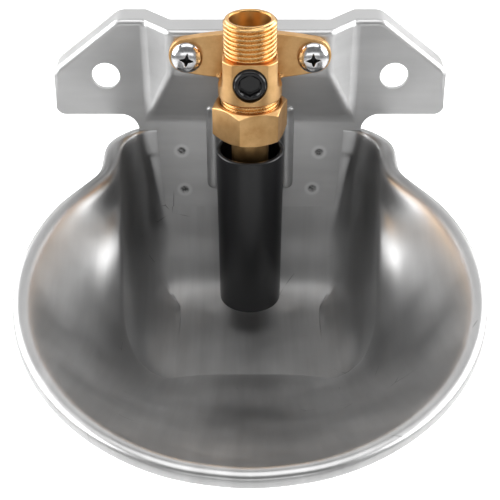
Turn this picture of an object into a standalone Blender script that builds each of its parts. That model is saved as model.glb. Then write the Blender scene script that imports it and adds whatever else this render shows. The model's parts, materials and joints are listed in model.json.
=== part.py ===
"""Livestock drinking bowl with a tube valve, modelled as its separate pieces.

Metres, +Z up. The origin lies on the wall, midway between the two mounting holes. +X is to the right as the
animal sees it, and the animal stands at -Y. "Front of the plate" is the plane of the ears' front faces.
"""

import math

import bmesh
import bpy
from mathutils import Matrix, Vector

# Clearance between pieces that touch, how far a cutter runs past the faces that it cuts, and how near two
# points lie when they are one
FIT = 0.0003
OVERRUN = 0.001
SAME_POINT = 0.00001

# Tube, which hangs by its flange in the union nut. A play, step or ledge is a difference of two diameters
TUBE_DIAMETER = 0.0150
TUBE_WALL = 0.0015
TUBE_FLANGE_THICKNESS = 0.0024
UNION_PLAY = 0.0038
FLANGE_LEDGE = 0.0022
SLIP_LEDGE = 0.0020
SLIP_THICKNESS = 0.0010
FLANGE_PLAY = 0.0025
NUT_STEP = 0.0035
COLLAR_STEP = 0.0018
TUBE_BORE = TUBE_DIAMETER - 2.0 * TUBE_WALL
UNION_HOLE = TUBE_DIAMETER + UNION_PLAY
TUBE_FLANGE = UNION_HOLE + FLANGE_LEDGE
SLIP_BORE = UNION_HOLE - SLIP_LEDGE
TAIL_DIAMETER = TUBE_FLANGE + FLANGE_PLAY
UNION_FLATS = TAIL_DIAMETER + NUT_STEP

# Seat, stem and spring
SEAT_BOTTOM = 0.0003
SEAT_THICKNESS = 0.0030
SEAT_LIP = 0.0004
SEAT_LIP_WIDTH = 0.0006
SEAT_BORE = 0.0070
DISC_OVERLAP = 0.0024
DISC_THICKNESS = 0.0018
DISC_WASHER_STEP = 0.0022
DISC_WASHER_THICKNESS = 0.0006
CHAMBER_PLAY = 0.0016
GASKET_STEP = 0.0012
GASKET_WIDTH = 0.0028
GASKET_THICKNESS = 0.0008
STEM_DIAMETER = 0.0032
STEM_HEAD_STEP = 0.0018
STEM_HEAD_HEIGHT = 0.0006
STEM_ROOM = 0.0017
FOOT_LEDGE = 0.0025
FOOT_THICKNESS = 0.0014
FOOT_PORT_WALL = 0.00095
SPRING_WIRE = 0.0007
SPRING_INSET = 0.0020
SPRING_TURNS = 4
DISC_DIAMETER = SEAT_BORE + DISC_OVERLAP
DISC_WASHER_DIAMETER = DISC_DIAMETER - DISC_WASHER_STEP
CHAMBER_BORE = DISC_DIAMETER + CHAMBER_PLAY
GASKET_BORE = CHAMBER_BORE + GASKET_STEP
TAIL_BORE = GASKET_BORE + 2.0 * GASKET_WIDTH
STEM_HEAD = STEM_DIAMETER + STEM_HEAD_STEP
FOOT_DIAMETER = TUBE_BORE + FOOT_LEDGE
SPRING_DIAMETER = FOOT_DIAMETER - 2.0 * SPRING_INSET
SEAT_TOP = SEAT_BOTTOM + SEAT_THICKNESS
SEAT_STEP = SEAT_TOP + GASKET_THICKNESS + 2.0 * FIT
DISC_BOTTOM = SEAT_TOP + SEAT_LIP + FIT
DISC_TOP = DISC_BOTTOM + DISC_THICKNESS
DISC_WASHER_BOTTOM = DISC_TOP + FIT
DISC_WASHER_TOP = DISC_WASHER_BOTTOM + DISC_WASHER_THICKNESS
STEM_HEAD_BOTTOM = DISC_WASHER_TOP + FIT
STEM_HEAD_TOP = STEM_HEAD_BOTTOM + STEM_HEAD_HEIGHT
STEM_HOLE = STEM_DIAMETER + 2.0 * FIT
FOOT_PORT = 0.5 * (TUBE_BORE - STEM_HOLE) - 2.0 * FOOT_PORT_WALL
FOOT_PORT_CIRCLE = 0.5 * (TUBE_BORE + STEM_HOLE)
CHAMBER_TOP = STEM_HEAD_TOP + STEM_ROOM

# Valve body: the axis stands upright in front of the pad. The wings' centre is the height of their screws
MILL_DEPTH = 0.00195
MILL_RADIUS = 0.003
WING_CENTRE = 0.01565
WING_THICKNESS = 0.004
WING_HALF_HEIGHT = 0.00985
WING_END_RADIUS = 0.0073
BODY_ABOVE_WINGS = 0.00485
LEDGE = 0.008
COLLAR_BOTTOM = 0.0035
COLLAR_BEVEL = 0.0006
TAIL_BOTTOM = -0.0042
INLET_LENGTH = 0.0148
INLET_DIAMETER = 0.020955
INLET_WALL = 0.0024775
INLET_CHAMFER = 0.0008
INLET_BORE_REST = 0.0017
INLET_CONE = 0.0032
PASSAGE_BORE = 0.0050
BODY_DIAMETER = TAIL_DIAMETER + COLLAR_STEP
BODY_FLATS = BODY_DIAMETER - 2.0 * MILL_DEPTH
BODY_TOP = WING_CENTRE + BODY_ABOVE_WINGS
INLET_TOP = BODY_TOP + INLET_LENGTH
INLET_BORE = INLET_DIAMETER - 2.0 * INLET_WALL
INLET_BORE_BOTTOM = BODY_TOP + INLET_BORE_REST
PASSAGE_TOP = INLET_BORE_BOTTOM - INLET_CONE

# Union nut
UNION_BELOW_COLLAR = 0.0029
UNION_BELOW_TAIL = 0.0092
UNION_SHOULDER = 0.0025
UNION_CHAMFER = 0.0014
UNION_TOP_CHAMFER = 0.0018
UNION_TURN = math.radians(-15.0)
UNION_TOP = COLLAR_BOTTOM - UNION_BELOW_COLLAR
UNION_BOTTOM = TAIL_BOTTOM - UNION_BELOW_TAIL
NUT_THREAD_BORE = TAIL_DIAMETER + 2.0 * FIT
SHOULDER_TOP = UNION_BOTTOM + UNION_SHOULDER
SLIP_BOTTOM = SHOULDER_TOP + FIT
TUBE_FLANGE_BOTTOM = SLIP_BOTTOM + SLIP_THICKNESS + FIT
TUBE_FLANGE_TOP = TUBE_FLANGE_BOTTOM + TUBE_FLANGE_THICKNESS
FOOT_BOTTOM = TUBE_FLANGE_TOP + FIT
FOOT_TOP = FOOT_BOTTOM + FOOT_THICKNESS

# Regulating screw in the front of the body
REGULATOR_ABOVE_CHAMBER = 0.0029
REGULATOR_PROUD = 0.0014
REGULATOR_HEAD = 0.0126
REGULATOR_HEAD_LENGTH = 0.0034
REGULATOR_LIP = 0.0007
REGULATOR_PIN = 0.0044
REGULATOR_TRAVEL = 0.0024
SOCKET_WALL = 0.0026
SOCKET_DEPTH = 0.0024
ORING_WIRE = 0.0009
ORING_FROM_FACE = 0.0019
REGULATOR_HEIGHT = CHAMBER_TOP + REGULATOR_ABOVE_CHAMBER
REGULATOR_FACE = 0.5 * BODY_FLATS + REGULATOR_PROUD
SOCKET_FLATS = REGULATOR_HEAD - 2.0 * SOCKET_WALL
POCKET_BORE = REGULATOR_HEAD + 2.0 * FIT
POCKET_DEPTH = REGULATOR_HEAD_LENGTH + REGULATOR_TRAVEL + FIT
PIN_BORE = REGULATOR_PIN + 2.0 * FIT

# Screws, washers and nuts that hold the wings to the pad
SCREW_SPACING = 0.050
SCREW_THREAD = 0.006
SCREW_HOLE_PLAY = 0.0006
SCREW_LENGTH = 0.016
SCREW_HEAD = 0.0126
SCREW_HEAD_HEIGHT = 0.0043
RECESS_SPAN = 0.0064
RECESS_SLOT = 0.0017
RECESS_DEPTH = 0.0026
RECESS_TURN = math.radians(45.0)
RECESS_LEAN = math.radians(6.0)
WASHER_STEP = 0.006
WASHER_THICKNESS = 0.0016
NUT_WALL = 0.002
NUT_HEIGHT = 0.005
NUT_CHAMFER = 0.0007
SCREW_HOLE = SCREW_THREAD + SCREW_HOLE_PLAY
WASHER_DIAMETER = SCREW_THREAD + WASHER_STEP
NUT_FLATS = SCREW_THREAD + 2.0 * NUT_WALL

# Back plate: pressed sheet, ears beside a raised pad, edges folded back to the wall. Half widths count
# outwards from the screws, and heights from the bolt holes
PLATE_SHEET = 0.002
FOLD_DEPTH = 0.0125
FOLD_RADIUS = 0.0022
BOLT_HOLE = 0.0118
PAD_RISE = 0.011
PAD_BESIDE_SCREW = 0.0075
PAD_ABOVE_SCREW = 0.00875
PAD_BELOW_SCREW = 0.00995
FACET_WIDTH = 0.0105
SLOPE_HEIGHT = 0.0252
EAR_TOP_WIDTH = 0.011
BOLT_BESIDE_CREASE = 0.017
EAR_BESIDE_BOLT = 0.022
EAR_SHOULDER = 0.002
EAR_BOTTOM = -0.0176
EAR_CORNER = 0.004
EAR_ROUNDING = 0.007
NECK_BESIDE_CREASE = 0.0044
NECK_FILLET = 0.0076
SKIRT_BESIDE_NECK = 0.0074
SKIRT_TAPER = 0.0024
SKIRT_REACH = 0.0379
SKIRT_CORNER = 0.0015
RIB_SPACING = 0.0306
RIB_WIDTH = 0.007
RIB_HEIGHT = 0.0022
RIB_WALL = 0.0013
RIB_ABOVE_SLOPE = 0.0075
RIB_ABOVE_EDGE = 0.0097
PAD_HALF = 0.5 * SCREW_SPACING + PAD_BESIDE_SCREW
CREASE_HALF = PAD_HALF + FACET_WIDTH
EAR_TOP_HALF = CREASE_HALF + EAR_TOP_WIDTH
BOLT_HALF = CREASE_HALF + BOLT_BESIDE_CREASE
EAR_HALF = BOLT_HALF + EAR_BESIDE_BOLT
NECK_HALF = CREASE_HALF + NECK_BESIDE_CREASE
SKIRT_TOP_HALF = NECK_HALF - SKIRT_BESIDE_NECK
SKIRT_BOTTOM_HALF = SKIRT_TOP_HALF - SKIRT_TAPER
PLATE_TOP = WING_CENTRE + PAD_ABOVE_SCREW
PAD_BOTTOM = WING_CENTRE - PAD_BELOW_SCREW
SLOPE_BOTTOM = PAD_BOTTOM - SLOPE_HEIGHT
NECK_BOTTOM = EAR_BOTTOM - NECK_FILLET
PLATE_Y = -FOLD_DEPTH
PAD_Y = PLATE_Y - PAD_RISE
VALVE_Y = PAD_Y - 0.5 * BODY_DIAMETER - FIT
WING_BACK_Y = PAD_Y - FIT
WING_FRONT_Y = WING_BACK_Y - WING_THICKNESS
REGULATOR_Y = VALVE_Y - REGULATOR_FACE

# Bowl: pressed sheet with a rolled rim, as wide as the ears. Depths are measured to the front from the plate
BOWL_SHEET = 0.0015
RIM_REACH = 0.204
RIM_BEAD = 0.0058
RIM_LIP = 0.0050
BOWL_DEPTH = 0.0822
NECK_RIM_BESIDE_PLATE = 0.0134
NECK_RIM_DEPTH = 0.0345
MOUTH_BESIDE_RIM = 0.0078
FLOOR_BESIDE_MOUTH = 0.0032
FLOOR_DEPTH = 0.0748
FLOOR_RADIUS = 0.007
REAR_RADIUS = 0.024
FUNNEL_SAG = 0.0016
LIP_BEHIND = 0.0037
LIP_ROUND = 0.0013
RIM_TOP = NECK_BOTTOM - 2.0 * FIT
RIM_HALF_WIDTH = EAR_HALF + FIT
NECK_RIM_HALF = NECK_HALF + NECK_RIM_BESIDE_PLATE
POCKET_HALF = NECK_RIM_HALF - MOUTH_BESIDE_RIM
FLOOR_HALF = POCKET_HALF - FLOOR_BESIDE_MOUTH
BOWL_FLOOR = RIM_TOP - BOWL_DEPTH
BOWL_BACK_Y = PLATE_Y + PLATE_SHEET + FIT
SKIRT_BOTTOM = RIM_TOP - SKIRT_REACH
RIB_TOP = SLOPE_BOTTOM + RIB_ABOVE_SLOPE
RIB_BOTTOM = SKIRT_BOTTOM + RIB_ABOVE_EDGE

# Sleeve, which stands clear of the floor
SLEEVE_BELOW_NUT = 0.0075
SLEEVE_ABOVE_FLOOR = 0.0125
SLEEVE_STEP = 0.0127
SLEEVE_TAPER = 0.0013
SLEEVE_WALL = 0.0017
SLEEVE_ROUNDING = 0.0008
SLEEVE_BEYOND_TUBE = 0.0235
SLEEVE_COLLAR_LENGTH = 0.028
SLEEVE_COLLAR_WALL = 0.0018
SLEEVE_RIB = 0.0018
SLEEVE_RIBS = 4
SLEEVE_TOP = UNION_BOTTOM - SLEEVE_BELOW_NUT
SLEEVE_BOTTOM = BOWL_FLOOR + SLEEVE_ABOVE_FLOOR
SLEEVE_TOP_DIAMETER = TUBE_DIAMETER + SLEEVE_STEP
SLEEVE_BOTTOM_DIAMETER = SLEEVE_TOP_DIAMETER - SLEEVE_TAPER
TUBE_BOTTOM = SLEEVE_BOTTOM + SLEEVE_BEYOND_TUBE
SLEEVE_COLLAR_TOP = TUBE_BOTTOM + SLEEVE_COLLAR_LENGTH

# Facet counts
FINE_ROUND = 36
ROUND = 32
MEDIUM_ROUND = 24
SMALL_ROUND = 20
TINY_ROUND = 12
RIB_SIDES = 12
WING_POINTS = 9
SPRING_STEPS = 12
ORING_SIDES = 6

# A turned piece is modelled about Z, and this turn points its top to the front
FACING_FRONT = (0.5 * math.pi, 0.0, 0.0)

# Colours as red, green, blue; then roughness and metallic
STEEL_LOOK = ((0.56, 0.56, 0.56), 0.38, 1.0)
PLATE_LOOK = ((0.62, 0.62, 0.62), 0.33, 1.0)
BRASS_LOOK = ((0.72, 0.50, 0.25), 0.36, 1.0)
TURNED_BRASS_LOOK = ((0.86, 0.62, 0.31), 0.22, 1.0)
ZINC_LOOK = ((0.75, 0.75, 0.76), 0.15, 1.0)
BLACK_LOOK = ((0.012, 0.012, 0.013), 0.30, 0.0)
RUBBER_LOOK = ((0.02, 0.02, 0.02), 0.60, 0.0)
SPRING_LOOK = ((0.60, 0.60, 0.60), 0.25, 1.0)


for old in list(bpy.data.objects):
    bpy.data.objects.remove(old, do_unlink=True)

parts = bpy.data.collections.new("drinking_bowl")
cutters = bpy.data.collections.new("cutters")
bpy.context.scene.collection.children.link(parts)
bpy.context.scene.collection.children.link(cutters)


def add_part(name, mesh, look, location=(0.0, 0.0, 0.0), rotation=(0.0, 0.0, 0.0)):
    """Links a mesh to the parts as an object with a material of its own."""
    colour, roughness, metallic = look
    material = bpy.data.materials.new(name)
    material.use_nodes = True
    shader = material.node_tree.nodes["Principled BSDF"]
    shader.inputs["Base Color"].default_value = (*colour, 1.0)
    shader.inputs["Roughness"].default_value = roughness
    shader.inputs["Metallic"].default_value = metallic
    material.diffuse_color = (*colour, 1.0)
    mesh.materials.append(material)
    part = bpy.data.objects.new(name, mesh)
    part.location = location
    part.rotation_euler = rotation
    parts.objects.link(part)
    return part


def add_cutter(name, mesh, location=(0.0, 0.0, 0.0), rotation=(0.0, 0.0, 0.0)):
    """Links a mesh to the cutters, which aren't part of the object."""
    cutter = bpy.data.objects.new(name, mesh)
    cutter.location = location
    cutter.rotation_euler = rotation
    cutter.hide_render = True
    cutter.display_type = "WIRE"
    cutters.objects.link(cutter)
    return cutter


def boolean(part, cutter, operation="DIFFERENCE"):
    """Cuts a piece by a cutter, joins it to one, or keeps what they share."""
    step = part.modifiers.new(cutter.name, "BOOLEAN")
    step.object = cutter
    step.operation = operation
    step.solver = "EXACT"


def smooth(mesh, angle=math.radians(30.0)):
    mesh.shade_smooth()
    mesh.set_sharp_from_angle(angle=angle)


def turned(name, profile, closed=False, steps=ROUND):
    """A mesh turned about Z from (radius, height) points that run down its outer side."""
    flat = bpy.data.meshes.new(name)
    edges = [(i, i + 1) for i in range(len(profile) - 1)]
    if closed:
        edges.append((len(profile) - 1, 0))
    flat.from_pydata([(r, 0.0, z) for r, z in profile], edges, [])
    carrier = bpy.data.objects.new(name, flat)
    parts.objects.link(carrier)
    screw = carrier.modifiers.new("Turn", "SCREW")
    screw.steps = steps
    screw.render_steps = steps
    screw.use_merge_vertices = True
    screw.merge_threshold = SAME_POINT
    bpy.context.view_layer.update()
    mesh = bpy.data.meshes.new_from_object(carrier.evaluated_get(bpy.context.evaluated_depsgraph_get()))
    bpy.data.objects.remove(carrier, do_unlink=True)
    bpy.data.meshes.remove(flat)
    mesh.name = name
    smooth(mesh)
    return mesh


def box(name, size, centre):
    """A box mesh of a size, about a centre."""
    bm = bmesh.new()
    bmesh.ops.create_cube(bm, size=1.0)
    bmesh.ops.scale(bm, vec=size, verts=bm.verts)
    bmesh.ops.translate(bm, vec=centre, verts=bm.verts)
    mesh = bpy.data.meshes.new(name)
    bm.to_mesh(mesh)
    bm.free()
    return mesh


def prism(name, sides, flats, bottom, top, turn=0.0):
    """A regular prism about Z, from its width across flats."""
    bm = bmesh.new()
    corner = 0.5 * flats / math.cos(math.pi / sides)
    bmesh.ops.create_cone(
        bm, cap_ends=True, segments=sides, radius1=corner, radius2=corner, depth=top - bottom)
    bmesh.ops.rotate(bm, cent=(0.0, 0.0, 0.0), matrix=Matrix.Rotation(turn, 3, "Z"), verts=bm.verts)
    bmesh.ops.translate(bm, vec=(0.0, 0.0, 0.5 * (bottom + top)), verts=bm.verts)
    mesh = bpy.data.meshes.new(name)
    bm.to_mesh(mesh)
    bm.free()
    return mesh


def ring_profile(outer, inner, bottom, top):
    """Profile of a plain ring with square edges, from its two diameters."""
    return [(0.5 * outer, top), (0.5 * outer, bottom), (0.5 * inner, bottom), (0.5 * inner, top)]


def rounded(corners, steps=4):
    """Points of an outline whose corners (x, z, radius) are rounded by arcs. Open at both ends."""
    points = []
    for i, (x, z, radius) in enumerate(corners):
        here = Vector((x, z))
        if radius <= 0.0 or i in (0, len(corners) - 1):
            points.append(here)
            continue
        before = (Vector(corners[i - 1][:2]) - here).normalized()
        after = (Vector(corners[i + 1][:2]) - here).normalized()
        half = 0.5 * before.angle(after)
        centre = here + (before + after).normalized() * (radius / math.sin(half))
        start = here + before * (radius / math.tan(half)) - centre
        end = here + after * (radius / math.tan(half)) - centre
        sweep = start.angle_signed(end)
        for k in range(steps + 1):
            turned_by = -sweep * k / steps
            c, s = math.cos(turned_by), math.sin(turned_by)
            points.append(centre + Vector((c * start.x - s * start.y, s * start.x + c * start.y)))
    return points


def smooth_between(before, start, end, after, t):
    """A point on the smooth curve through four points, whose knots follow the root of their spacing."""
    points = (before, start, end, after)
    knots = [0.0]
    for i in range(3):
        knots.append(knots[-1] + max((points[i + 1] - points[i]).length, FIT) ** 0.5)
    here = knots[1] + (knots[2] - knots[1]) * t
    for knot_pairs in (((0, 1), (1, 2), (2, 3)), ((0, 2), (1, 3)), ((1, 2),)):
        shares = [(here - knots[low]) / (knots[high] - knots[low]) for low, high in knot_pairs]
        points = [points[i].lerp(points[i + 1], share) for i, share in enumerate(shares)]
    return points[0]


def curve_at(points, i, t):
    """The point at a share of one span of a smooth curve through the points."""
    last = len(points) - 1
    before = points[i - 1] if i > 0 else 2.0 * points[0] - points[1]
    after = points[i + 2] if i + 2 <= last else 2.0 * points[last] - points[last - 1]
    return smooth_between(before, points[i], points[i + 1], after, t)


def resampled(points, rows):
    """Points along a smooth curve, with a number of steps for each of its spans."""
    result = [points[0].copy()]
    for i, count in enumerate(rows):
        result += [curve_at(points, i, (k + 1) / count) for k in range(count)]
    return result


# Bowl
# The sheet is a loft between unlike sections: the rim is an ellipse with a straight neck at the back, the
# mouth of the pocket falls away to the front, and the floor is a small rounded rectangle. Each half is laid
# out on the same stations, from the front round to the back.

# Stations: share of the floor's half width, and of its depth from the rear wall
FLOOR_SHARES = (
    (0.0, 1.0), (0.28, 1.0), (0.55, 1.0), (0.78, 0.95), (0.92, 0.83), (0.975, 0.67), (0.995, 0.51),
    (1.0, 0.39), (1.0, 0.29), (0.985, 0.20), (0.945, 0.125), (0.88, 0.06), (0.78, 0.018), (0.64, 0.0),
    (0.34, 0.0), (0.0, 0.0))
# Stations: share of the pocket's half width, of the rim's reach, and of the drop from rim to floor
MOUTH_SHARES = (
    (0.0, 0.404, 0.80), (0.22, 0.404, 0.80), (0.43, 0.407, 0.80), (0.64, 0.420, 0.79),
    (0.82, 0.412, 0.705), (0.935, 0.375, 0.55), (0.945, 0.330, 0.40), (0.955, 0.284, 0.285),
    (0.975, 0.232, 0.20), (0.995, 0.178, 0.18), (1.0, 0.126, 0.20), (0.985, 0.074, 0.23),
    (0.93, 0.026, 0.25), (0.79, 0.0, 0.26), (0.42, 0.0, 0.26), (0.0, 0.0, 0.26))
# Stations: share of the way from the small round at the floor's front to the large one at its rear
ROUND_SHARES = (0.0, 0.0, 0.0, 0.05, 0.15, 0.30, 0.45, 0.55, 0.60, 0.65, 0.70, 0.75, 0.85, 1.0, 1.0, 1.0)
# The rim's stations behind its ellipse: share of the neck's half width, and of its depth
NECK_SHARES = ((1.0, 0.70), (1.0, 0.33), (0.93, 0.08))
# The rim's stations along the rear wall: share of the neck's half width
BACK_SHARES = (0.76, 0.40, 0.0)
REAR_STATION = 12
CORNER_STATIONS = 2
ELLIPSE_STATIONS = 10
# How far down the funnel and the pocket wall the middle rings lie, and how much the wall bulges
FUNNEL_SHARES = (0.33, 0.68)
POCKET_SHARES = (0.40, 0.74)
POCKET_SWELL_SHARE = 0.16
MOST_SWELL_SHARES = 2.0
BEAD_SHARES = (0.42, 0.92, 1.30)
BEAD_DROP_SHARES = (0.0, 0.15, 0.46)
COARSE_ROWS = 1
FINE_ROWS = 2


def rim_stations():
    """Half of the rim's outer outline as (x, y), from the front round to the back."""
    reach = 0.5 * RIM_REACH
    meet = math.acos((NECK_RIM_DEPTH - reach) / reach)
    stations = []
    for j in range(ELLIPSE_STATIONS):
        angle = meet * j / (ELLIPSE_STATIONS - 1)
        depth = reach + reach * math.cos(angle)
        stations.append(Vector((RIM_HALF_WIDTH * math.sin(angle), PLATE_Y - depth)))
    # The ellipse runs into the neck by half the step between them
    stations[-1].x = 0.5 * (stations[-1].x + NECK_RIM_HALF)
    for half_share, depth_share in NECK_SHARES:
        stations.append(Vector((NECK_RIM_HALF * half_share, PLATE_Y - NECK_RIM_DEPTH * depth_share)))
    for half_share in BACK_SHARES:
        stations.append(Vector((NECK_RIM_HALF * half_share, BOWL_BACK_Y + LIP_BEHIND)))
    return stations


def inward(outline, j):
    """The direction that points into the bowl, square to its half outline at a station."""
    before = outline[j - 1] if j > 0 else Vector((-outline[1].x, outline[1].y))
    after = outline[j + 1] if j + 1 < len(outline) else Vector((-outline[j - 1].x, outline[j - 1].y))
    along = (after - before).normalized()
    return Vector((-along.y, along.x))


def rim_line(rim, j, at_back):
    """Points of the rolled rim at a station, from the lip's lower edge to the funnel's upper edge."""
    edge, way = rim[j], inward(rim, j)
    bead = RIM_BEAD * (1.0 - at_back) + LIP_BEHIND * at_back
    line = [
        Vector((edge.x, edge.y, RIM_TOP - RIM_LIP)),
        Vector((edge.x, edge.y, RIM_TOP - LIP_ROUND))]
    for inset_share, drop_share in zip(BEAD_SHARES, BEAD_DROP_SHARES):
        share = inset_share * (1.0 - at_back) + min(inset_share, 1.0) * at_back
        place = edge + way * bead * share
        line.append(Vector((place.x, place.y, RIM_TOP - RIM_BEAD * drop_share)))
    return line


def bowl_rings():
    """Rings of the bowl's upper surface, from the lip's lower edge to the edge of the flat floor."""
    rim = rim_stations()
    drop = RIM_TOP - BOWL_FLOOR
    feet = [
        Vector((FLOOR_HALF * half_share, BOWL_BACK_Y - FLOOR_DEPTH * depth_share))
        for half_share, depth_share in FLOOR_SHARES]
    lines = []
    for j, (half_share, reach_share, drop_share) in enumerate(MOUTH_SHARES):
        at_back = min(max((j - REAR_STATION + 1) / CORNER_STATIONS, 0.0), 1.0)
        line = rim_line(rim, j, at_back)
        shoulder = line[-1]
        mouth_y = BOWL_BACK_Y if j > REAR_STATION else PLATE_Y - RIM_REACH * reach_share
        mouth = Vector((POCKET_HALF * half_share, mouth_y, RIM_TOP - drop * drop_share))
        for share in FUNNEL_SHARES:
            sag = FUNNEL_SAG * math.sin(math.pi * share) * (1.0 - at_back)
            line.append(shoulder.lerp(mouth, share) - Vector((0.0, 0.0, sag)))
        line.append(mouth)
        # The wall meets the floor at its foot, in a round that widens to the rear
        foot = feet[j].to_3d()
        foot.z = BOWL_FLOOR
        up, across = (mouth - foot).normalized(), inward(feet, j).to_3d()
        half_turn = 0.5 * (math.pi - up.angle(across))
        radius = FLOOR_RADIUS + (REAR_RADIUS - FLOOR_RADIUS) * ROUND_SHARES[j]
        tangent = radius * math.tan(half_turn)
        wall_end = foot + up * tangent
        swell = POCKET_SWELL_SHARE * min(drop_share ** -0.5, MOST_SWELL_SHARES)
        if j > REAR_STATION:
            swell = 0.0
        for share in POCKET_SHARES:
            place = mouth.lerp(wall_end, max(share - swell * math.sin(math.pi * share), 0.0))
            place.z = mouth.z + (wall_end.z - mouth.z) * share
            line.append(place)
        line.append(wall_end)
        line.append(foot + (up + across).normalized() * radius * (1.0 / math.cos(half_turn) - 1.0))
        line.append(foot + across * tangent)
        lines.append(line)
    return [[line[k] for line in lines] for k in range(len(lines[0]))]


def span_rows():
    """Steps along each span of the profile: the rim, the funnel and the wall, and the round to the floor."""
    rim = [COARSE_ROWS, FINE_ROWS, FINE_ROWS, COARSE_ROWS]
    funnel = [COARSE_ROWS] + [FINE_ROWS] * len(FUNNEL_SHARES)
    wall = [COARSE_ROWS] * (len(POCKET_SHARES) + 1)
    return rim + funnel + wall + [FINE_ROWS, FINE_ROWS]


def make_bowl():
    rings = bowl_rings()
    lines = [resampled([ring[j] for ring in rings], span_rows()) for j in range(len(rings[0]))]
    down, around = len(lines[0]) - 1, FINE_ROWS * (len(lines) - 1)
    verts = []
    for k in range(down + 1):
        ring = resampled([line[k] for line in lines], [FINE_ROWS] * (len(lines) - 1))
        ring[0].x = ring[-1].x = 0.0
        verts += ring
    row = around + 1
    faces = []
    for k in range(down):
        for i in range(around):
            a = k * row + i
            faces.append((a, a + 1, a + row + 1, a + row))
    last = down * row
    faces.append(tuple(last + i for i in range(row)))
    mesh = bpy.data.meshes.new("bowl")
    mesh.from_pydata(verts, [], faces)
    smooth(mesh, math.radians(50.0))
    bowl = add_part("bowl", mesh, STEEL_LOOK)
    mirror = bowl.modifiers.new("Halves", "MIRROR")
    mirror.merge_threshold = SAME_POINT
    sheet = bowl.modifiers.new("Sheet", "SOLIDIFY")
    sheet.thickness = BOWL_SHEET
    sheet.offset = -1.0
    return bowl


# Back plate


# How far along a rib's rounded end each section lies, in half widths, and its share of the full size
RIB_END_SHARES = ((0.0, 0.12), (0.12, 0.55), (0.35, 0.83), (0.65, 0.96), (1.0, 1.0))


def make_back_plate():
    """One pressed sheet: half of its front is laid out by panels, its edge is folded back, then mirrored."""
    front, pad = PLATE_Y, PAD_Y
    top_edge = rounded([
        (CREASE_HALF, PLATE_TOP, 0.0), (EAR_TOP_HALF, PLATE_TOP, EAR_ROUNDING),
        (EAR_HALF, EAR_SHOULDER, EAR_ROUNDING), (EAR_HALF, EAR_BOTTOM + EAR_CORNER, 0.0)])
    under_edge = rounded([
        (EAR_HALF, EAR_BOTTOM + EAR_CORNER, 0.0), (EAR_HALF, EAR_BOTTOM, EAR_CORNER),
        (NECK_HALF, EAR_BOTTOM, NECK_FILLET), (NECK_HALF, NECK_BOTTOM, 0.0)], 5)
    skirt_edge = [
        Vector((SKIRT_TOP_HALF, NECK_BOTTOM)),
        Vector((SKIRT_BOTTOM_HALF, SKIRT_BOTTOM + SKIRT_CORNER)),
        Vector((SKIRT_BOTTOM_HALF - SKIRT_CORNER, SKIRT_BOTTOM))]
    bm = bmesh.new()

    def vert(x, y, z):
        return bm.verts.new((x, y, z))

    pad_top_middle, pad_top = vert(0.0, pad, PLATE_TOP), vert(PAD_HALF, pad, PLATE_TOP)
    pad_low_middle, pad_low = vert(0.0, pad, PAD_BOTTOM), vert(PAD_HALF, pad, PAD_BOTTOM)
    crease_low, slope_middle = vert(CREASE_HALF, front, SLOPE_BOTTOM), vert(0.0, front, SLOPE_BOTTOM)
    folded = [vert(p.x, front, p.y) for p in top_edge]
    free = [vert(p.x, front, p.y) for p in under_edge[2:-1]]
    skirt = [vert(p.x, front, p.y) for p in skirt_edge]
    skirt_middle = vert(0.0, front, SKIRT_BOTTOM)
    panels = [
        [pad_top_middle, pad_low_middle, pad_low, pad_top],
        [pad_low_middle, slope_middle, crease_low, pad_low],
        [pad_top, pad_low, crease_low, folded[0]],
        [slope_middle, skirt_middle, *reversed(skirt), *reversed(free), *reversed(folded), crease_low]]
    for panel in panels:
        bm.faces.new(panel)
    edge = [pad_top_middle, pad_top, *folded]
    back = [vert(v.co.x, v.co.y + FOLD_DEPTH, v.co.z) for v in edge]
    for i in range(len(edge) - 1):
        bm.faces.new([edge[i], edge[i + 1], back[i + 1], back[i]])
    bm.normal_update()
    mesh = bpy.data.meshes.new("back_plate")
    bm.to_mesh(mesh)
    bm.free()
    plate = add_part("back_plate", mesh, PLATE_LOOK)
    mirror = plate.modifiers.new("Halves", "MIRROR")
    mirror.merge_threshold = SAME_POINT
    fold = plate.modifiers.new("Folds", "BEVEL")
    fold.width = FOLD_RADIUS
    fold.segments = 3
    fold.limit_method = "ANGLE"
    fold.angle_limit = math.radians(20.0)
    sheet = plate.modifiers.new("Sheet", "SOLIDIFY")
    sheet.thickness = PLATE_SHEET
    sheet.offset = -1.0
    sheet.use_even_offset = True
    for side in (-1.0, 1.0):
        x = side * 0.5 * RIB_SPACING
        raised = rib_mesh("rib", x, 0.5 * RIB_WIDTH, RIB_HEIGHT)
        boolean(plate, add_cutter("rib", raised), "UNION")
        hollow = rib_mesh("rib_hollow", x, 0.5 * RIB_WIDTH - RIB_WALL, RIB_HEIGHT - RIB_WALL + PLATE_SHEET)
        hollow.transform(Matrix.Translation((0.0, PLATE_SHEET, 0.0)))
        boolean(plate, add_cutter("rib_hollow", hollow))
    hole = turned("bolt_hole", ring_stub(BOLT_HOLE, PLATE_SHEET + 2.0 * OVERRUN), steps=ROUND)
    for side in (-1.0, 1.0):
        boolean(plate, add_cutter(
            "bolt_hole", hole, (side * BOLT_HALF, PLATE_Y + 0.5 * PLATE_SHEET, 0.0), FACING_FRONT))
    screw_hole = turned("screw_hole", ring_stub(SCREW_HOLE, PLATE_SHEET + 2.0 * OVERRUN), steps=SMALL_ROUND)
    for side in (-1.0, 1.0):
        boolean(plate, add_cutter(
            "screw_hole", screw_hole,
            (side * 0.5 * SCREW_SPACING, PAD_Y + 0.5 * PLATE_SHEET, WING_CENTRE), FACING_FRONT))
    return plate


def ring_stub(diameter, length):
    """Profile of a plain cylinder about its middle."""
    radius, half = 0.5 * diameter, 0.5 * length
    return [(0.0, half), (radius, half), (radius, -half), (0.0, -half)]


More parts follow.
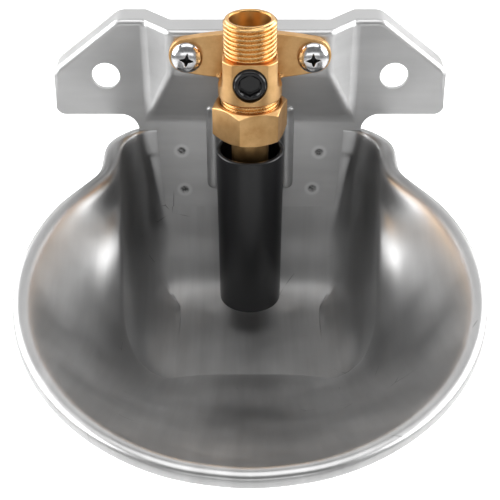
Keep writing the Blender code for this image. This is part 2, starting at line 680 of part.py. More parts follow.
def sheet_front(z):
    """Where the front of the plate lies at a height below the pad, on its middle."""
    share = min(max((z - SLOPE_BOTTOM) / (PAD_BOTTOM - SLOPE_BOTTOM), 0.0), 1.0)
    return PLATE_Y - PAD_RISE * share


def rib_mesh(name, x, half_width, height):
    """A bead with rounded ends that follows the sloped panel and the skirt, as a loft of ellipses."""
    places = []
    for along, size in RIB_END_SHARES:
        places.append((RIB_TOP - half_width * along, size))
    places.append((SLOPE_BOTTOM, 1.0))
    for along, size in reversed(RIB_END_SHARES):
        places.append((RIB_BOTTOM + half_width * along, size))
    verts, faces = [], []
    for z, size in places:
        for k in range(RIB_SIDES):
            angle = 2.0 * math.pi * (k + 0.5) / RIB_SIDES
            verts.append((
                x + half_width * size * math.cos(angle),
                sheet_front(z) - height * size * math.sin(angle), z))
    for s in range(len(places) - 1):
        for k in range(RIB_SIDES):
            a, b = s * RIB_SIDES + k, s * RIB_SIDES + (k + 1) % RIB_SIDES
            faces.append((a, b, b + RIB_SIDES, a + RIB_SIDES))
    faces.append(tuple(reversed(range(RIB_SIDES))))
    last = (len(places) - 1) * RIB_SIDES
    faces.append(tuple(last + k for k in range(RIB_SIDES)))
    mesh = bpy.data.meshes.new(name)
    mesh.from_pydata(verts, [], faces)
    bm = bmesh.new()
    bm.from_mesh(mesh)
    bmesh.ops.recalc_face_normals(bm, faces=bm.faces)
    bm.to_mesh(mesh)
    bm.free()
    return mesh


# Valve body


def wing_outline():
    """Outline (x, z) of the two wings: a bulged middle that runs out to round ends at the screws."""
    half = 0.5 * SCREW_SPACING
    points = []
    for k in range(WING_POINTS + 1):
        share = k / WING_POINTS
        x = half * share
        z = WING_HALF_HEIGHT - (WING_HALF_HEIGHT - WING_END_RADIUS) * share ** 2
        points.append((x, z))
    for k in range(1, WING_POINTS):
        angle = 0.5 * math.pi * k / WING_POINTS
        points.append((half + WING_END_RADIUS * math.sin(angle), WING_END_RADIUS * math.cos(angle)))
    quarter = points + [(half + WING_END_RADIUS, 0.0)]
    right = quarter + [(x, -z) for x, z in reversed(quarter[:-1])]
    left = [(-x, z) for x, z in reversed(right[1:-1])]
    return right + left


def plate_from(name, outline, front_y, back_y, centre_z):
    """A flat plate in the XZ plane from a closed outline."""
    curve = bpy.data.curves.new(name, "CURVE")
    curve.dimensions = "2D"
    curve.fill_mode = "BOTH"
    curve.extrude = 0.5 * (back_y - front_y)
    spline = curve.splines.new("POLY")
    spline.points.add(len(outline) - 1)
    for point, (x, z) in zip(spline.points, outline):
        point.co = (x, z, 0.0, 1.0)
    spline.use_cyclic_u = True
    carrier = bpy.data.objects.new(name, curve)
    parts.objects.link(carrier)
    bpy.context.view_layer.update()
    mesh = bpy.data.meshes.new_from_object(carrier.evaluated_get(bpy.context.evaluated_depsgraph_get()))
    bpy.data.objects.remove(carrier, do_unlink=True)
    bm = bmesh.new()
    bm.from_mesh(mesh)
    bmesh.ops.remove_doubles(bm, verts=bm.verts, dist=SAME_POINT)
    bmesh.ops.recalc_face_normals(bm, faces=bm.faces)
    for v in bm.verts:
        v.co = Vector((v.co.x, 0.5 * (front_y + back_y) - v.co.z, v.co.y + centre_z))
    bm.to_mesh(mesh)
    bm.free()
    mesh.materials.clear()
    mesh.name = name
    return mesh


def make_valve_body():
    radius, thread, tail = 0.5 * BODY_DIAMETER, 0.5 * INLET_DIAMETER, 0.5 * TAIL_DIAMETER
    outside = [
        (0.0, INLET_TOP), (thread - INLET_CHAMFER, INLET_TOP), (thread, INLET_TOP - INLET_CHAMFER),
        (thread, BODY_TOP + INLET_CHAMFER), (thread - INLET_CHAMFER, BODY_TOP), (radius, BODY_TOP),
        (radius, COLLAR_BOTTOM + COLLAR_BEVEL), (radius - COLLAR_BEVEL, COLLAR_BOTTOM), (tail, COLLAR_BOTTOM),
        (tail, TAIL_BOTTOM + COLLAR_BEVEL), (tail - COLLAR_BEVEL, TAIL_BOTTOM), (0.0, TAIL_BOTTOM)]
    body = add_part("valve_body", turned("valve_body", outside), BRASS_LOOK, (0.0, VALVE_Y, 0.0))
    # Three milled flats, which end above the collar in the round of the mill
    deep = BODY_DIAMETER
    tall = BODY_TOP - LEDGE + OVERRUN
    for name, angle in (("front_flat", 0.0), ("right_flat", 0.5 * math.pi), ("left_flat", -0.5 * math.pi)):
        mill = box(name, (2.0 * deep, deep, tall), (0.0, -0.5 * BODY_FLATS - 0.5 * deep, LEDGE + 0.5 * tall))
        cutter = add_cutter(name, mill, (0.0, VALVE_Y, 0.0), (0.0, 0.0, angle))
        rounding = cutter.modifiers.new("Mill", "BEVEL")
        rounding.width = MILL_RADIUS
        rounding.segments = 4
        rounding.limit_method = "NONE"
        boolean(body, cutter)
    wings = plate_from("wings", wing_outline(), WING_FRONT_Y, WING_BACK_Y, WING_CENTRE)
    boolean(body, add_cutter("wings", wings), "UNION")
    inlet, passage, chamber = 0.5 * INLET_BORE, 0.5 * PASSAGE_BORE, 0.5 * CHAMBER_BORE
    seat = 0.5 * TAIL_BORE
    waterway = [
        (0.0, INLET_TOP + OVERRUN), (inlet, INLET_TOP + OVERRUN), (inlet, INLET_BORE_BOTTOM),
        (passage, PASSAGE_TOP), (passage, CHAMBER_TOP), (chamber, CHAMBER_TOP), (chamber, SEAT_STEP),
        (seat, SEAT_STEP), (seat, TAIL_BOTTOM - OVERRUN), (0.0, TAIL_BOTTOM - OVERRUN)]
    waterway_mesh = turned("waterway", waterway, steps=MEDIUM_ROUND)
    boolean(body, add_cutter("waterway", waterway_mesh, (0.0, VALVE_Y, 0.0)))
    pocket, pin = 0.5 * POCKET_BORE, 0.5 * PIN_BORE
    regulator = [
        (0.0, BODY_DIAMETER), (pocket, BODY_DIAMETER), (pocket, REGULATOR_FACE - POCKET_DEPTH),
        (pin, REGULATOR_FACE - POCKET_DEPTH), (pin, 0.0), (0.0, 0.0)]
    boolean(body, add_cutter(
        "regulator_bore", turned("regulator_bore", regulator, steps=MEDIUM_ROUND),
        (0.0, VALVE_Y, REGULATOR_HEIGHT), FACING_FRONT))
    hole = turned("wing_hole", ring_stub(SCREW_HOLE, WING_THICKNESS + 2.0 * OVERRUN), steps=SMALL_ROUND)
    for side in (-1.0, 1.0):
        boolean(body, add_cutter(
            "wing_hole", hole,
            (side * 0.5 * SCREW_SPACING, 0.5 * (WING_FRONT_Y + WING_BACK_Y), WING_CENTRE), FACING_FRONT))
    return body


# Union nut


def make_union_nut():
    hexagon = prism("union_nut", 6, UNION_FLATS, UNION_BOTTOM, UNION_TOP, UNION_TURN)
    nut = add_part("union_nut", hexagon, BRASS_LOOK, (0.0, VALVE_Y, 0.0))
    corner = 0.5 * UNION_FLATS / math.cos(math.pi / 6.0)
    flat = 0.5 * UNION_FLATS
    blank = [
        (0.0, UNION_TOP), (flat, UNION_TOP), (corner + OVERRUN, UNION_TOP - UNION_TOP_CHAMFER),
        (corner + OVERRUN, UNION_BOTTOM + UNION_CHAMFER), (flat, UNION_BOTTOM), (0.0, UNION_BOTTOM)]
    blank_mesh = turned("nut_blank", blank, steps=FINE_ROUND)
    boolean(nut, add_cutter("nut_blank", blank_mesh, (0.0, VALVE_Y, 0.0)), "INTERSECT")
    thread, hole = 0.5 * NUT_THREAD_BORE, 0.5 * UNION_HOLE
    inside = [
        (0.0, UNION_TOP + OVERRUN), (thread, UNION_TOP + OVERRUN), (thread, SHOULDER_TOP),
        (hole, SHOULDER_TOP), (hole, UNION_BOTTOM - OVERRUN), (0.0, UNION_BOTTOM - OVERRUN)]
    boolean(nut, add_cutter("nut_bore", turned("nut_bore", inside), (0.0, VALVE_Y, 0.0)))
    return nut


# Seat and stem


def make_seat():
    outer, bore = 0.5 * TAIL_BORE - FIT, 0.5 * SEAT_BORE
    lip_outer = bore + 2.0 * SEAT_LIP_WIDTH
    seat = [
        (outer, SEAT_TOP), (outer, SEAT_BOTTOM), (bore, SEAT_BOTTOM), (bore, SEAT_TOP + SEAT_LIP),
        (bore + SEAT_LIP_WIDTH, SEAT_TOP + SEAT_LIP), (lip_outer, SEAT_TOP)]
    place = (0.0, VALVE_Y, 0.0)
    add_part("seat_insert", turned("seat_insert", seat, True, SMALL_ROUND), BRASS_LOOK, place)
    gasket = ring_profile(2.0 * outer, GASKET_BORE, SEAT_TOP + FIT, SEAT_STEP - FIT)
    add_part("seat_gasket", turned("seat_gasket", gasket, True, SMALL_ROUND), RUBBER_LOOK, place)


def make_stem():
    radius, head = 0.5 * STEM_DIAMETER, 0.5 * STEM_HEAD
    stem = [
        (0.0, STEM_HEAD_TOP), (head, STEM_HEAD_TOP), (head, STEM_HEAD_BOTTOM), (radius, STEM_HEAD_BOTTOM),
        (radius, FOOT_BOTTOM), (0.0, FOOT_BOTTOM)]
    place = (0.0, VALVE_Y, 0.0)
    add_part("valve_stem", turned("valve_stem", stem, steps=TINY_ROUND), TURNED_BRASS_LOOK, place)
    disc = ring_profile(DISC_DIAMETER, STEM_HOLE, DISC_BOTTOM, DISC_TOP)
    add_part("valve_disc", turned("valve_disc", disc, True, SMALL_ROUND), RUBBER_LOOK, place)
    washer = ring_profile(DISC_WASHER_DIAMETER, STEM_HOLE, DISC_WASHER_BOTTOM, DISC_WASHER_TOP)
    add_part("disc_washer", turned("disc_washer", washer, True, SMALL_ROUND), ZINC_LOOK, place)
    plate = ring_profile(FOOT_DIAMETER, STEM_HOLE, FOOT_BOTTOM, FOOT_TOP)
    foot = add_part("foot_plate", turned("foot_plate", plate, True, MEDIUM_ROUND), TURNED_BRASS_LOOK, place)
    port = turned("foot_port", ring_stub(FOOT_PORT, FOOT_THICKNESS + 2.0 * OVERRUN), steps=TINY_ROUND)
    for k in range(4):
        angle = 0.25 * math.pi + 0.5 * math.pi * k
        reach = 0.5 * FOOT_PORT_CIRCLE
        boolean(foot, add_cutter(
            "foot_port", port,
            (reach * math.cos(angle), VALVE_Y + reach * math.sin(angle), 0.5 * (FOOT_BOTTOM + FOOT_TOP))))


def make_spring():
    """A wire on a helix between the foot plate and the seat insert."""
    radius = 0.5 * (SPRING_DIAMETER - SPRING_WIRE)
    low = FOOT_TOP + FIT + 0.5 * SPRING_WIRE
    high = SEAT_BOTTOM - FIT - 0.5 * SPRING_WIRE
    count = SPRING_TURNS * SPRING_STEPS
    curve = bpy.data.curves.new("return_spring", "CURVE")
    curve.dimensions = "3D"
    curve.bevel_depth = 0.5 * SPRING_WIRE
    curve.bevel_resolution = 1
    curve.use_fill_caps = True
    spline = curve.splines.new("POLY")
    spline.points.add(count)
    for i, point in enumerate(spline.points):
        angle = 2.0 * math.pi * i / SPRING_STEPS
        z = low + (high - low) * i / count
        point.co = (radius * math.cos(angle), radius * math.sin(angle), z, 1.0)
    carrier = bpy.data.objects.new("return_spring", curve)
    parts.objects.link(carrier)
    bpy.context.view_layer.update()
    mesh = bpy.data.meshes.new_from_object(carrier.evaluated_get(bpy.context.evaluated_depsgraph_get()))
    bpy.data.objects.remove(carrier, do_unlink=True)
    bm = bmesh.new()
    bm.from_mesh(mesh)
    bmesh.ops.remove_doubles(bm, verts=bm.verts, dist=SAME_POINT)
    bmesh.ops.recalc_face_normals(bm, faces=bm.faces)
    bm.to_mesh(mesh)
    bm.free()
    mesh.materials.clear()
    smooth(mesh)
    add_part("return_spring", mesh, SPRING_LOOK, (0.0, VALVE_Y, 0.0))


# Tube and sleeve, whose objects hang from one empty on the rocking edge


def make_tube():
    pivot = bpy.data.objects.new("rocking_edge", None)
    pivot.location = (0.0, VALVE_Y - 0.5 * TUBE_FLANGE, TUBE_FLANGE_BOTTOM)
    parts.objects.link(pivot)
    offset = Vector((0.0, VALVE_Y, 0.0)) - Vector(pivot.location)
    flange, outer, bore = 0.5 * TUBE_FLANGE, 0.5 * TUBE_DIAMETER, 0.5 * TUBE_BORE
    tube = [
        (flange, TUBE_FLANGE_TOP), (flange, TUBE_FLANGE_BOTTOM), (outer, TUBE_FLANGE_BOTTOM),
        (outer, TUBE_BOTTOM), (bore, TUBE_BOTTOM), (bore, TUBE_FLANGE_TOP)]
    part = add_part("flange_tube", turned("flange_tube", tube, True), TURNED_BRASS_LOOK, offset)
    part.parent = pivot
    top, low = 0.5 * SLEEVE_TOP_DIAMETER, 0.5 * SLEEVE_BOTTOM_DIAMETER
    shell = rounded([
        (top - SLEEVE_WALL, SLEEVE_TOP, 0.0), (top, SLEEVE_TOP, SLEEVE_ROUNDING),
        (low, SLEEVE_BOTTOM, SLEEVE_ROUNDING), (low - SLEEVE_WALL, SLEEVE_BOTTOM, 0.0)], 2)
    sleeve = add_part("tube_sleeve", turned("tube_sleeve", shell, True, FINE_ROUND), BLACK_LOOK, offset)
    sleeve.parent = pivot
    # Four ribs join the shell to a collar that grips the brass tube
    collar = 0.5 * TUBE_DIAMETER + FIT
    grip_diameter, grip_bottom = 2.0 * (collar + SLEEVE_COLLAR_WALL), TUBE_BOTTOM - SLEEVE_COLLAR_WALL
    grip = turned(
        "grip", ring_profile(grip_diameter, 2.0 * collar, grip_bottom, SLEEVE_COLLAR_TOP), True, MEDIUM_ROUND)
    boolean(sleeve, add_cutter("grip", grip, (0.0, VALVE_Y, 0.0)), "UNION")
    inner = collar + 0.5 * SLEEVE_COLLAR_WALL
    outer = low - 0.5 * SLEEVE_WALL
    tall = SLEEVE_COLLAR_TOP - TUBE_BOTTOM - 2.0 * SLEEVE_COLLAR_WALL
    middle = 0.5 * (SLEEVE_COLLAR_TOP + TUBE_BOTTOM)
    for k in range(SLEEVE_RIBS):
        rib = box("sleeve_rib", (outer - inner, SLEEVE_RIB, tall), (0.5 * (outer + inner), 0.0, middle))
        turn = (0.0, 0.0, 0.25 * math.pi + 2.0 * math.pi * k / SLEEVE_RIBS)
        boolean(sleeve, add_cutter("sleeve_rib", rib, (0.0, VALVE_Y, 0.0), turn), "UNION")
    slip = ring_profile(NUT_THREAD_BORE - 2.0 * FIT, SLIP_BORE, SLIP_BOTTOM, SLIP_BOTTOM + SLIP_THICKNESS)
    add_part("slip_washer", turned("slip_washer", slip, True), ZINC_LOOK, (0.0, VALVE_Y, 0.0))


# Regulating screw


def make_regulator():
    head, pin = 0.5 * REGULATOR_HEAD, 0.5 * REGULATOR_PIN
    groove_z = -ORING_FROM_FACE
    half_groove = 0.5 * ORING_WIRE + FIT
    groove = head - ORING_WIRE
    length = REGULATOR_FACE - 0.5 * PASSAGE_BORE - FIT
    front = rounded([(0.0, 0.0, 0.0), (head, 0.0, REGULATOR_LIP), (head, groove_z + half_groove, 0.0)], 2)
    profile = [
        *front, (groove, groove_z + half_groove), (groove, groove_z - half_groove),
        (head, groove_z - half_groove), (head, -REGULATOR_HEAD_LENGTH), (pin, -REGULATOR_HEAD_LENGTH),
        (pin, -length), (0.0, -length)]
    place = (0.0, REGULATOR_Y, REGULATOR_HEIGHT)
    screw_mesh = turned("regulator_screw", profile, steps=MEDIUM_ROUND)
    screw = add_part("regulator_screw", screw_mesh, BLACK_LOOK, place, FACING_FRONT)
    socket = prism("socket", 6, SOCKET_FLATS, -SOCKET_DEPTH, OVERRUN)
    boolean(screw, add_cutter("socket", socket, place, FACING_FRONT))
    wire = 0.5 * ORING_WIRE
    centre = groove + FIT + wire
    ring = []
    for k in range(ORING_SIDES):
        angle = 2.0 * math.pi * k / ORING_SIDES
        ring.append((centre + wire * math.sin(angle), groove_z + wire * math.cos(angle)))
    ring_mesh = turned("regulator_oring", ring, True, MEDIUM_ROUND)
    add_part("regulator_oring", ring_mesh, RUBBER_LOOK, place, FACING_FRONT)


# Screws, washers and nuts of the wings

# The pan head's outline: shares of its radius, how far it falls to its edge, and the height of that edge
HEAD_SHARES = (0.35, 0.62, 0.82, 0.94)
HEAD_FALL_SHARE = 0.5
HEAD_EDGE_SHARE = 0.36


def pan_head_mesh():
    """A pan-head screw about Z, its bearing face at zero and its head upwards."""
    head, shank, height = 0.5 * SCREW_HEAD, 0.5 * SCREW_THREAD, SCREW_HEAD_HEIGHT
    profile = [(0.0, height)]
    for share in HEAD_SHARES:
        profile.append((head * share, height * (1.0 - HEAD_FALL_SHARE * share ** 3)))
    profile += [
        (head, height * HEAD_EDGE_SHARE), (head, 0.0), (shank, 0.0), (shank, -SCREW_LENGTH),
        (0.0, -SCREW_LENGTH)]
    return turned("flange_screw", profile, steps=MEDIUM_ROUND)


def make_fasteners():
    head_y = WING_FRONT_Y - FIT
    washer_y = PAD_Y + PLATE_SHEET + FIT
    nut_y = washer_y + WASHER_THICKNESS + FIT
    for side, label in ((-1.0, "left"), (1.0, "right")):
        x = side * 0.5 * SCREW_SPACING
        place = (x, head_y, WING_CENTRE)
        screw = add_part("flange_screw_" + label, pan_head_mesh(), ZINC_LOOK, place, FACING_FRONT)
        slot_size = (RECESS_SPAN, RECESS_SLOT, RECESS_DEPTH + OVERRUN)
        slot_z = SCREW_HEAD_HEIGHT - RECESS_DEPTH + 0.5 * (RECESS_DEPTH + OVERRUN)
        for turn in (0.0, 0.5 * math.pi):
            slot = box("recess", slot_size, (0.0, 0.0, slot_z))
            lean = (0.5 * math.pi, RECESS_TURN + RECESS_LEAN * side + turn, 0.0)
            boolean(screw, add_cutter("recess", slot, place, lean))
        hole = SCREW_THREAD + 2.0 * FIT
        washer = ring_profile(WASHER_DIAMETER, hole, -WASHER_THICKNESS, 0.0)
        add_part(
            "flange_washer_" + label, turned("flange_washer", washer, True, SMALL_ROUND), ZINC_LOOK,
            (x, washer_y, WING_CENTRE), FACING_FRONT)
        nut = add_part(
            "flange_nut_" + label, prism("flange_nut", 6, NUT_FLATS, -NUT_HEIGHT, 0.0), ZINC_LOOK,
            (x, nut_y, WING_CENTRE), FACING_FRONT)
        corner, flat = 0.5 * NUT_FLATS / math.cos(math.pi / 6.0) + OVERRUN, 0.5 * NUT_FLATS
        blank = turned("flange_nut_blank", [
            (0.0, 0.0), (corner, 0.0), (corner, -NUT_HEIGHT + NUT_CHAMFER), (flat, -NUT_HEIGHT),
            (0.0, -NUT_HEIGHT)], steps=MEDIUM_ROUND)
        place = (x, nut_y, WING_CENTRE)
        boolean(nut, add_cutter("flange_nut_blank", blank, place, FACING_FRONT), "INTERSECT")
        bore = turned("flange_nut_bore", ring_stub(hole, 2.0 * (NUT_HEIGHT + OVERRUN)), steps=SMALL_ROUND)
        boolean(nut, add_cutter("flange_nut_bore", bore, place, FACING_FRONT))


make_bowl()
make_back_plate()
make_valve_body()
make_union_nut()
make_seat()
make_stem()
make_spring()
make_tube()
make_regulator()
make_fasteners()
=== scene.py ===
import json
import math

import bmesh
import bpy
from mathutils import Matrix, Vector


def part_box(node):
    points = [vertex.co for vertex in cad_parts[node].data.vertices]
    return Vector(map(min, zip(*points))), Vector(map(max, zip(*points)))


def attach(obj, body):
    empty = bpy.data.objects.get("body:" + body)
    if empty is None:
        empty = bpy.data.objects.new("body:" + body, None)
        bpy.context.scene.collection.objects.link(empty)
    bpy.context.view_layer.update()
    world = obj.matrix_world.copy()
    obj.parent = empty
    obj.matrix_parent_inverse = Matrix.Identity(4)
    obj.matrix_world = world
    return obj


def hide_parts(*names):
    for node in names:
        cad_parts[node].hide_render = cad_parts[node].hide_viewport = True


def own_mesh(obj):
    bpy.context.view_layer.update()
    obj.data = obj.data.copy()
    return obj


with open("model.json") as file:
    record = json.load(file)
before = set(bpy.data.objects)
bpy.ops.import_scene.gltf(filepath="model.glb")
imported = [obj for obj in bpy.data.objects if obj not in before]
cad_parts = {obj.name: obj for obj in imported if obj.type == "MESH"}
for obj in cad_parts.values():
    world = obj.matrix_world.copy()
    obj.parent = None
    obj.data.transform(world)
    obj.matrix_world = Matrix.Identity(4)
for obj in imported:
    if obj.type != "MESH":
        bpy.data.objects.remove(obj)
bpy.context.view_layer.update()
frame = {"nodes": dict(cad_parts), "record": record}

# Livestock drinking bowl with a tube valve. Metres, +Z up, the animal stands at -Y.

NODES = frame["nodes"]
ROOT = "bowl_and_valve"
SAME_POINT = 0.00001
CUT_OVERRUN = 0.001
FACING_FRONT = Matrix.Rotation(0.5 * math.pi, 4, "X")

# Places and sizes that the frame gives
NUT_LOW, NUT_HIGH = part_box("union_nut")
SLEEVE_LOW, SLEEVE_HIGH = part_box("tube_sleeve")
TUBE_LOW, TUBE_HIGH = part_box("flange_tube")
SCREW_LOW, SCREW_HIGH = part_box("flange_screw_right")
REGULATOR_LOW, REGULATOR_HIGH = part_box("regulator_screw")
INLET_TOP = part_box("valve_body")[1].z
AXIS_Y = 0.5 * (NUT_LOW.y + NUT_HIGH.y)
SCREW_X = 0.5 * (SCREW_LOW.x + SCREW_HIGH.x)
SCREW_Z = 0.5 * (SCREW_LOW.z + SCREW_HIGH.z)
REGULATOR_Z = 0.5 * (REGULATOR_LOW.z + REGULATOR_HIGH.z)
# Front of the plate's ears and of its skirt
PLATE_Y = -0.0125


# Camera, floor and light

CAMERA_DISTANCE = 0.420
CAMERA_HEIGHT = 0.196
CAMERA_PITCH = math.radians(34.0)
CAMERA_LENS = 79.2
CAMERA_NEAREST = 0.01
SENSOR = 36.0
FLOOR_Z = -0.45
FLOOR_SIZE = 12.0
FLOOR_GREY = 0.80
FLOOR_ROUGHNESS = 0.9
FLOOR_GLOW = 0.66
# How bright the surroundings are, from straight below (0) over the horizon (0.5) to straight above (1)
SKY_LEVELS = ((0.0, 0.50), (0.50, 0.45), (0.60, 0.45), (0.70, 0.22), (0.90, 0.18), (1.0, 0.30))
VALVE_AIM = (0.0, -0.05, -0.02)
POCKET_AIM = (0.0, -0.08, -0.02)
# Long soft boxes beside the object, wide ones behind and above it and a low weak one in front:
# name, place, aim, size and power
SOFT_BOXES = (
    ("right_box", (1.1, 0.22, 0.40), VALVE_AIM, (1.8, 1.0), 25.0),
    ("left_box", (-1.1, 0.22, 0.40), VALVE_AIM, (1.8, 1.0), 25.0),
    ("rear_box", (0.0, 1.55, 0.90), VALVE_AIM, (2.4, 1.2), 6.5),
    ("top_box", (0.0, -0.05, 1.35), POCKET_AIM, (1.6, 1.0), 9.0),
    ("front_box", (0.0, -1.6, 0.22), VALVE_AIM, (1.8, 0.4), 2.6),
)


def add_camera():
    data = bpy.data.cameras.new("camera")
    data.sensor_width = SENSOR
    data.lens = CAMERA_LENS
    data.clip_start = CAMERA_NEAREST
    camera = linked("camera", data)
    camera.location = (0.0, PLATE_Y - CAMERA_DISTANCE, CAMERA_HEIGHT)
    camera.rotation_euler = (0.5 * math.pi - CAMERA_PITCH, 0.0, 0.0)
    bpy.context.scene.camera = camera


def show_camera(tree, shader, shown, output):
    """Gives camera rays the second shader and all other rays the first."""
    path = tree.nodes.new("ShaderNodeLightPath")
    choice = tree.nodes.new("ShaderNodeMixShader")
    tree.links.new(path.outputs["Is Camera Ray"], choice.inputs[0])
    tree.links.new(shader.outputs[0], choice.inputs[1])
    tree.links.new(shown.outputs[0], choice.inputs[2])
    tree.links.new(choice.outputs[0], output.inputs["Surface"])


def add_floor():
    bm = bmesh.new()
    bmesh.ops.create_grid(bm, x_segments=1, y_segments=1, size=0.5 * FLOOR_SIZE)
    floor = linked("floor", mesh_of("floor", bm))
    floor.location = (0.0, 0.0, FLOOR_Z)
    material, tree, shader = start_material("floor", (FLOOR_GREY,) * 3, 0.0, FLOOR_ROUGHNESS)
    # The floor reads as a white backdrop to the camera, and keeps the shadow on it
    glow = tree.nodes.new("ShaderNodeEmission")
    glow.inputs["Strength"].default_value = FLOOR_GLOW
    both = tree.nodes.new("ShaderNodeAddShader")
    tree.links.new(shader.outputs[0], both.inputs[0])
    tree.links.new(glow.outputs[0], both.inputs[1])
    show_camera(tree, shader, both, tree.nodes["Material Output"])
    floor.data.materials.append(material)


def add_world():
    world = bpy.data.worlds.new("studio")
    bpy.context.scene.world = world
    world.use_nodes = True
    tree = world.node_tree
    tree.nodes.clear()
    coordinates = tree.nodes.new("ShaderNodeTexCoord")
    split = tree.nodes.new("ShaderNodeSeparateXYZ")
    tree.links.new(coordinates.outputs["Generated"], split.inputs[0])
    ramp = tree.nodes.new("ShaderNodeValToRGB")
    tree.links.new(mapped(tree, split.outputs["Z"], (-1.0, 1.0), (0.0, 1.0)), ramp.inputs["Fac"])
    stops = ramp.color_ramp.elements
    for position, _ in SKY_LEVELS[1:-1]:
        stops.new(position)
    for stop, (position, level) in zip(stops, SKY_LEVELS):
        stop.position = position
        stop.color = (level, level, level, 1.0)
    around = tree.nodes.new("ShaderNodeBackground")
    tree.links.new(ramp.outputs["Color"], around.inputs["Color"])
    white = tree.nodes.new("ShaderNodeBackground")
    white.inputs["Color"].default_value = (1.0, 1.0, 1.0, 1.0)
    show_camera(tree, around, white, tree.nodes.new("ShaderNodeOutputWorld"))


def add_lamps():
    for name, place, aim, size, power in SOFT_BOXES:
        data = bpy.data.lights.new(name, "AREA")
        data.shape = "RECTANGLE"
        data.size, data.size_y = size
        data.energy = power
        lamp = linked(name, data)
        lamp.location = place
        lamp.rotation_euler = (Vector(aim) - Vector(place)).to_track_quat("-Z", "Y").to_euler()


# Materials

FULL = (0.0, 1.0)
# Relief of the surfaces
PRESS_RELIEF = 0.0006
STREAK_RELIEF = 0.00012
SCRATCH_RELIEF = 0.00006
GRAIN_RELIEF = 0.00004
MOULD_RELIEF = 0.0001
MOULD_GRAIN_RELIEF = 0.00003
ZINC_RELIEF = 0.00005
CAST_RELIEF = 0.00006
PIPE_RELIEF = 0.00002
TURNED_RELIEF = 0.000004
# The deep draw leaves the bowl's sheet duller from one height down to another
DULL_TOP = -0.070
DULL_LOW = -0.098
# Spot welds between the skirt and the bowl: x and z, and from where to where each mark fades
WELDS = ((-0.0297, -0.0354), (-0.0290, -0.0548), (0.0300, -0.0361), (0.0275, -0.0543))
WELD_POINTS = [(x, PLATE_Y, z) for x, z in WELDS]
WELD_RING = (0.0026, 0.0040)
WELD_CORE = (0.0009, 0.0024)


def start_material(name, colour, metallic, roughness):
    material = bpy.data.materials.new(name)
    material.use_nodes = True
    shader = material.node_tree.nodes["Principled BSDF"]
    shader.inputs["Base Color"].default_value = (*colour, 1.0)
    shader.inputs["Metallic"].default_value = metallic
    shader.inputs["Roughness"].default_value = roughness
    return material, material.node_tree, shader


def place_of(tree, scale=(1.0, 1.0, 1.0), rotation=(0.0, 0.0, 0.0)):
    """The point on the piece, stretched along its own axes."""
    coordinates = tree.nodes.new("ShaderNodeTexCoord")
    mapping = tree.nodes.new("ShaderNodeMapping")
    mapping.inputs["Scale"].default_value = scale
    mapping.inputs["Rotation"].default_value = rotation
    tree.links.new(coordinates.outputs["Object"], mapping.inputs["Vector"])
    return mapping.outputs["Vector"]


def noise(tree, vector, scale, detail=2.0, roughness=0.5):
    texture = tree.nodes.new("ShaderNodeTexNoise")
    texture.inputs["Scale"].default_value = scale
    texture.inputs["Detail"].default_value = detail
    texture.inputs["Roughness"].default_value = roughness
    tree.links.new(vector, texture.inputs["Vector"])
    return texture.outputs["Fac"]


def mapped(tree, value, source, result, smooth=False):
    """The value, moved from a source range to a result range and held within it."""
    step = tree.nodes.new("ShaderNodeMapRange")
    step.interpolation_type = "SMOOTHSTEP" if smooth else "LINEAR"
    for socket, number in zip(("From Min", "From Max", "To Min", "To Max"), (*source, *result)):
        step.inputs[socket].default_value = number
    tree.links.new(value, step.inputs["Value"])
    return step.outputs["Result"]


def give_or_take(value, spread):
    return (value - spread, value + spread)


def faded(colour, share):
    return tuple(share * c for c in colour)


def maths(tree, operation, first, second):
    node = tree.nodes.new("ShaderNodeMath")
    node.operation = operation
    for socket, value in zip(node.inputs, (first, second)):
        if isinstance(value, (int, float)):
            socket.default_value = value
        else:
            tree.links.new(value, socket)
    return node.outputs[0]


def blended(tree, share, first, second):
    """A colour between two, each a colour or a socket."""
    node = tree.nodes.new("ShaderNodeMix")
    node.data_type = "RGBA"
    sockets = [s for s in node.inputs if s.type == "RGBA"]
    for socket, value in zip(sockets, (first, second)):
        if isinstance(value, tuple):
            socket.default_value = (*value, 1.0)
        else:
            tree.links.new(value, socket)
    tree.links.new(share, [s for s in node.inputs if s.name == "Factor" and s.type == "VALUE"][0])
    return [s for s in node.outputs if s.type == "RGBA"][0]


def bumped(tree, shader, height, strength, distance):
    """Adds relief on top of what the shader's normal already has."""
    bump = tree.nodes.new("ShaderNodeBump")
    bump.inputs["Strength"].default_value = strength
    bump.inputs["Distance"].default_value = distance
    tree.links.new(height, bump.inputs["Height"])
    before = shader.inputs["Normal"].links
    if before:
        tree.links.new(before[0].from_socket, bump.inputs["Normal"])
    tree.links.new(bump.outputs["Normal"], shader.inputs["Normal"])


def scratches(tree, cells, turn, amount):
    """Short fine lines, 1 on a line and 0 beside it: pieces of cell borders, cut off by a noise."""
    vector = place_of(tree, rotation=(turn, 0.7 * turn, 1.3 * turn))
    voronoi = tree.nodes.new("ShaderNodeTexVoronoi")
    voronoi.feature = "DISTANCE_TO_EDGE"
    voronoi.inputs["Scale"].default_value = cells
    tree.links.new(vector, voronoi.inputs["Vector"])
    line = mapped(tree, voronoi.outputs["Distance"], (0.0, 0.012), (1.0, 0.0), True)
    mask = mapped(tree, noise(tree, vector, cells * 0.9), (amount, amount + 0.06), FULL, True)
    return maths(tree, "MULTIPLY", line, mask)


def near_points(tree, points, fade):
    """1 near any of the points, falling to 0 between the two radii of the fade."""
    coordinates = tree.nodes.new("ShaderNodeTexCoord")
    total = None
    for point in points:
        gap = tree.nodes.new("ShaderNodeVectorMath")
        gap.operation = "DISTANCE"
        gap.inputs[1].default_value = point
        tree.links.new(coordinates.outputs["Object"], gap.inputs[0])
        share = mapped(tree, gap.outputs["Value"], fade, (1.0, 0.0), True)
        total = share if total is None else maths(tree, "MAXIMUM", total, share)
    return total


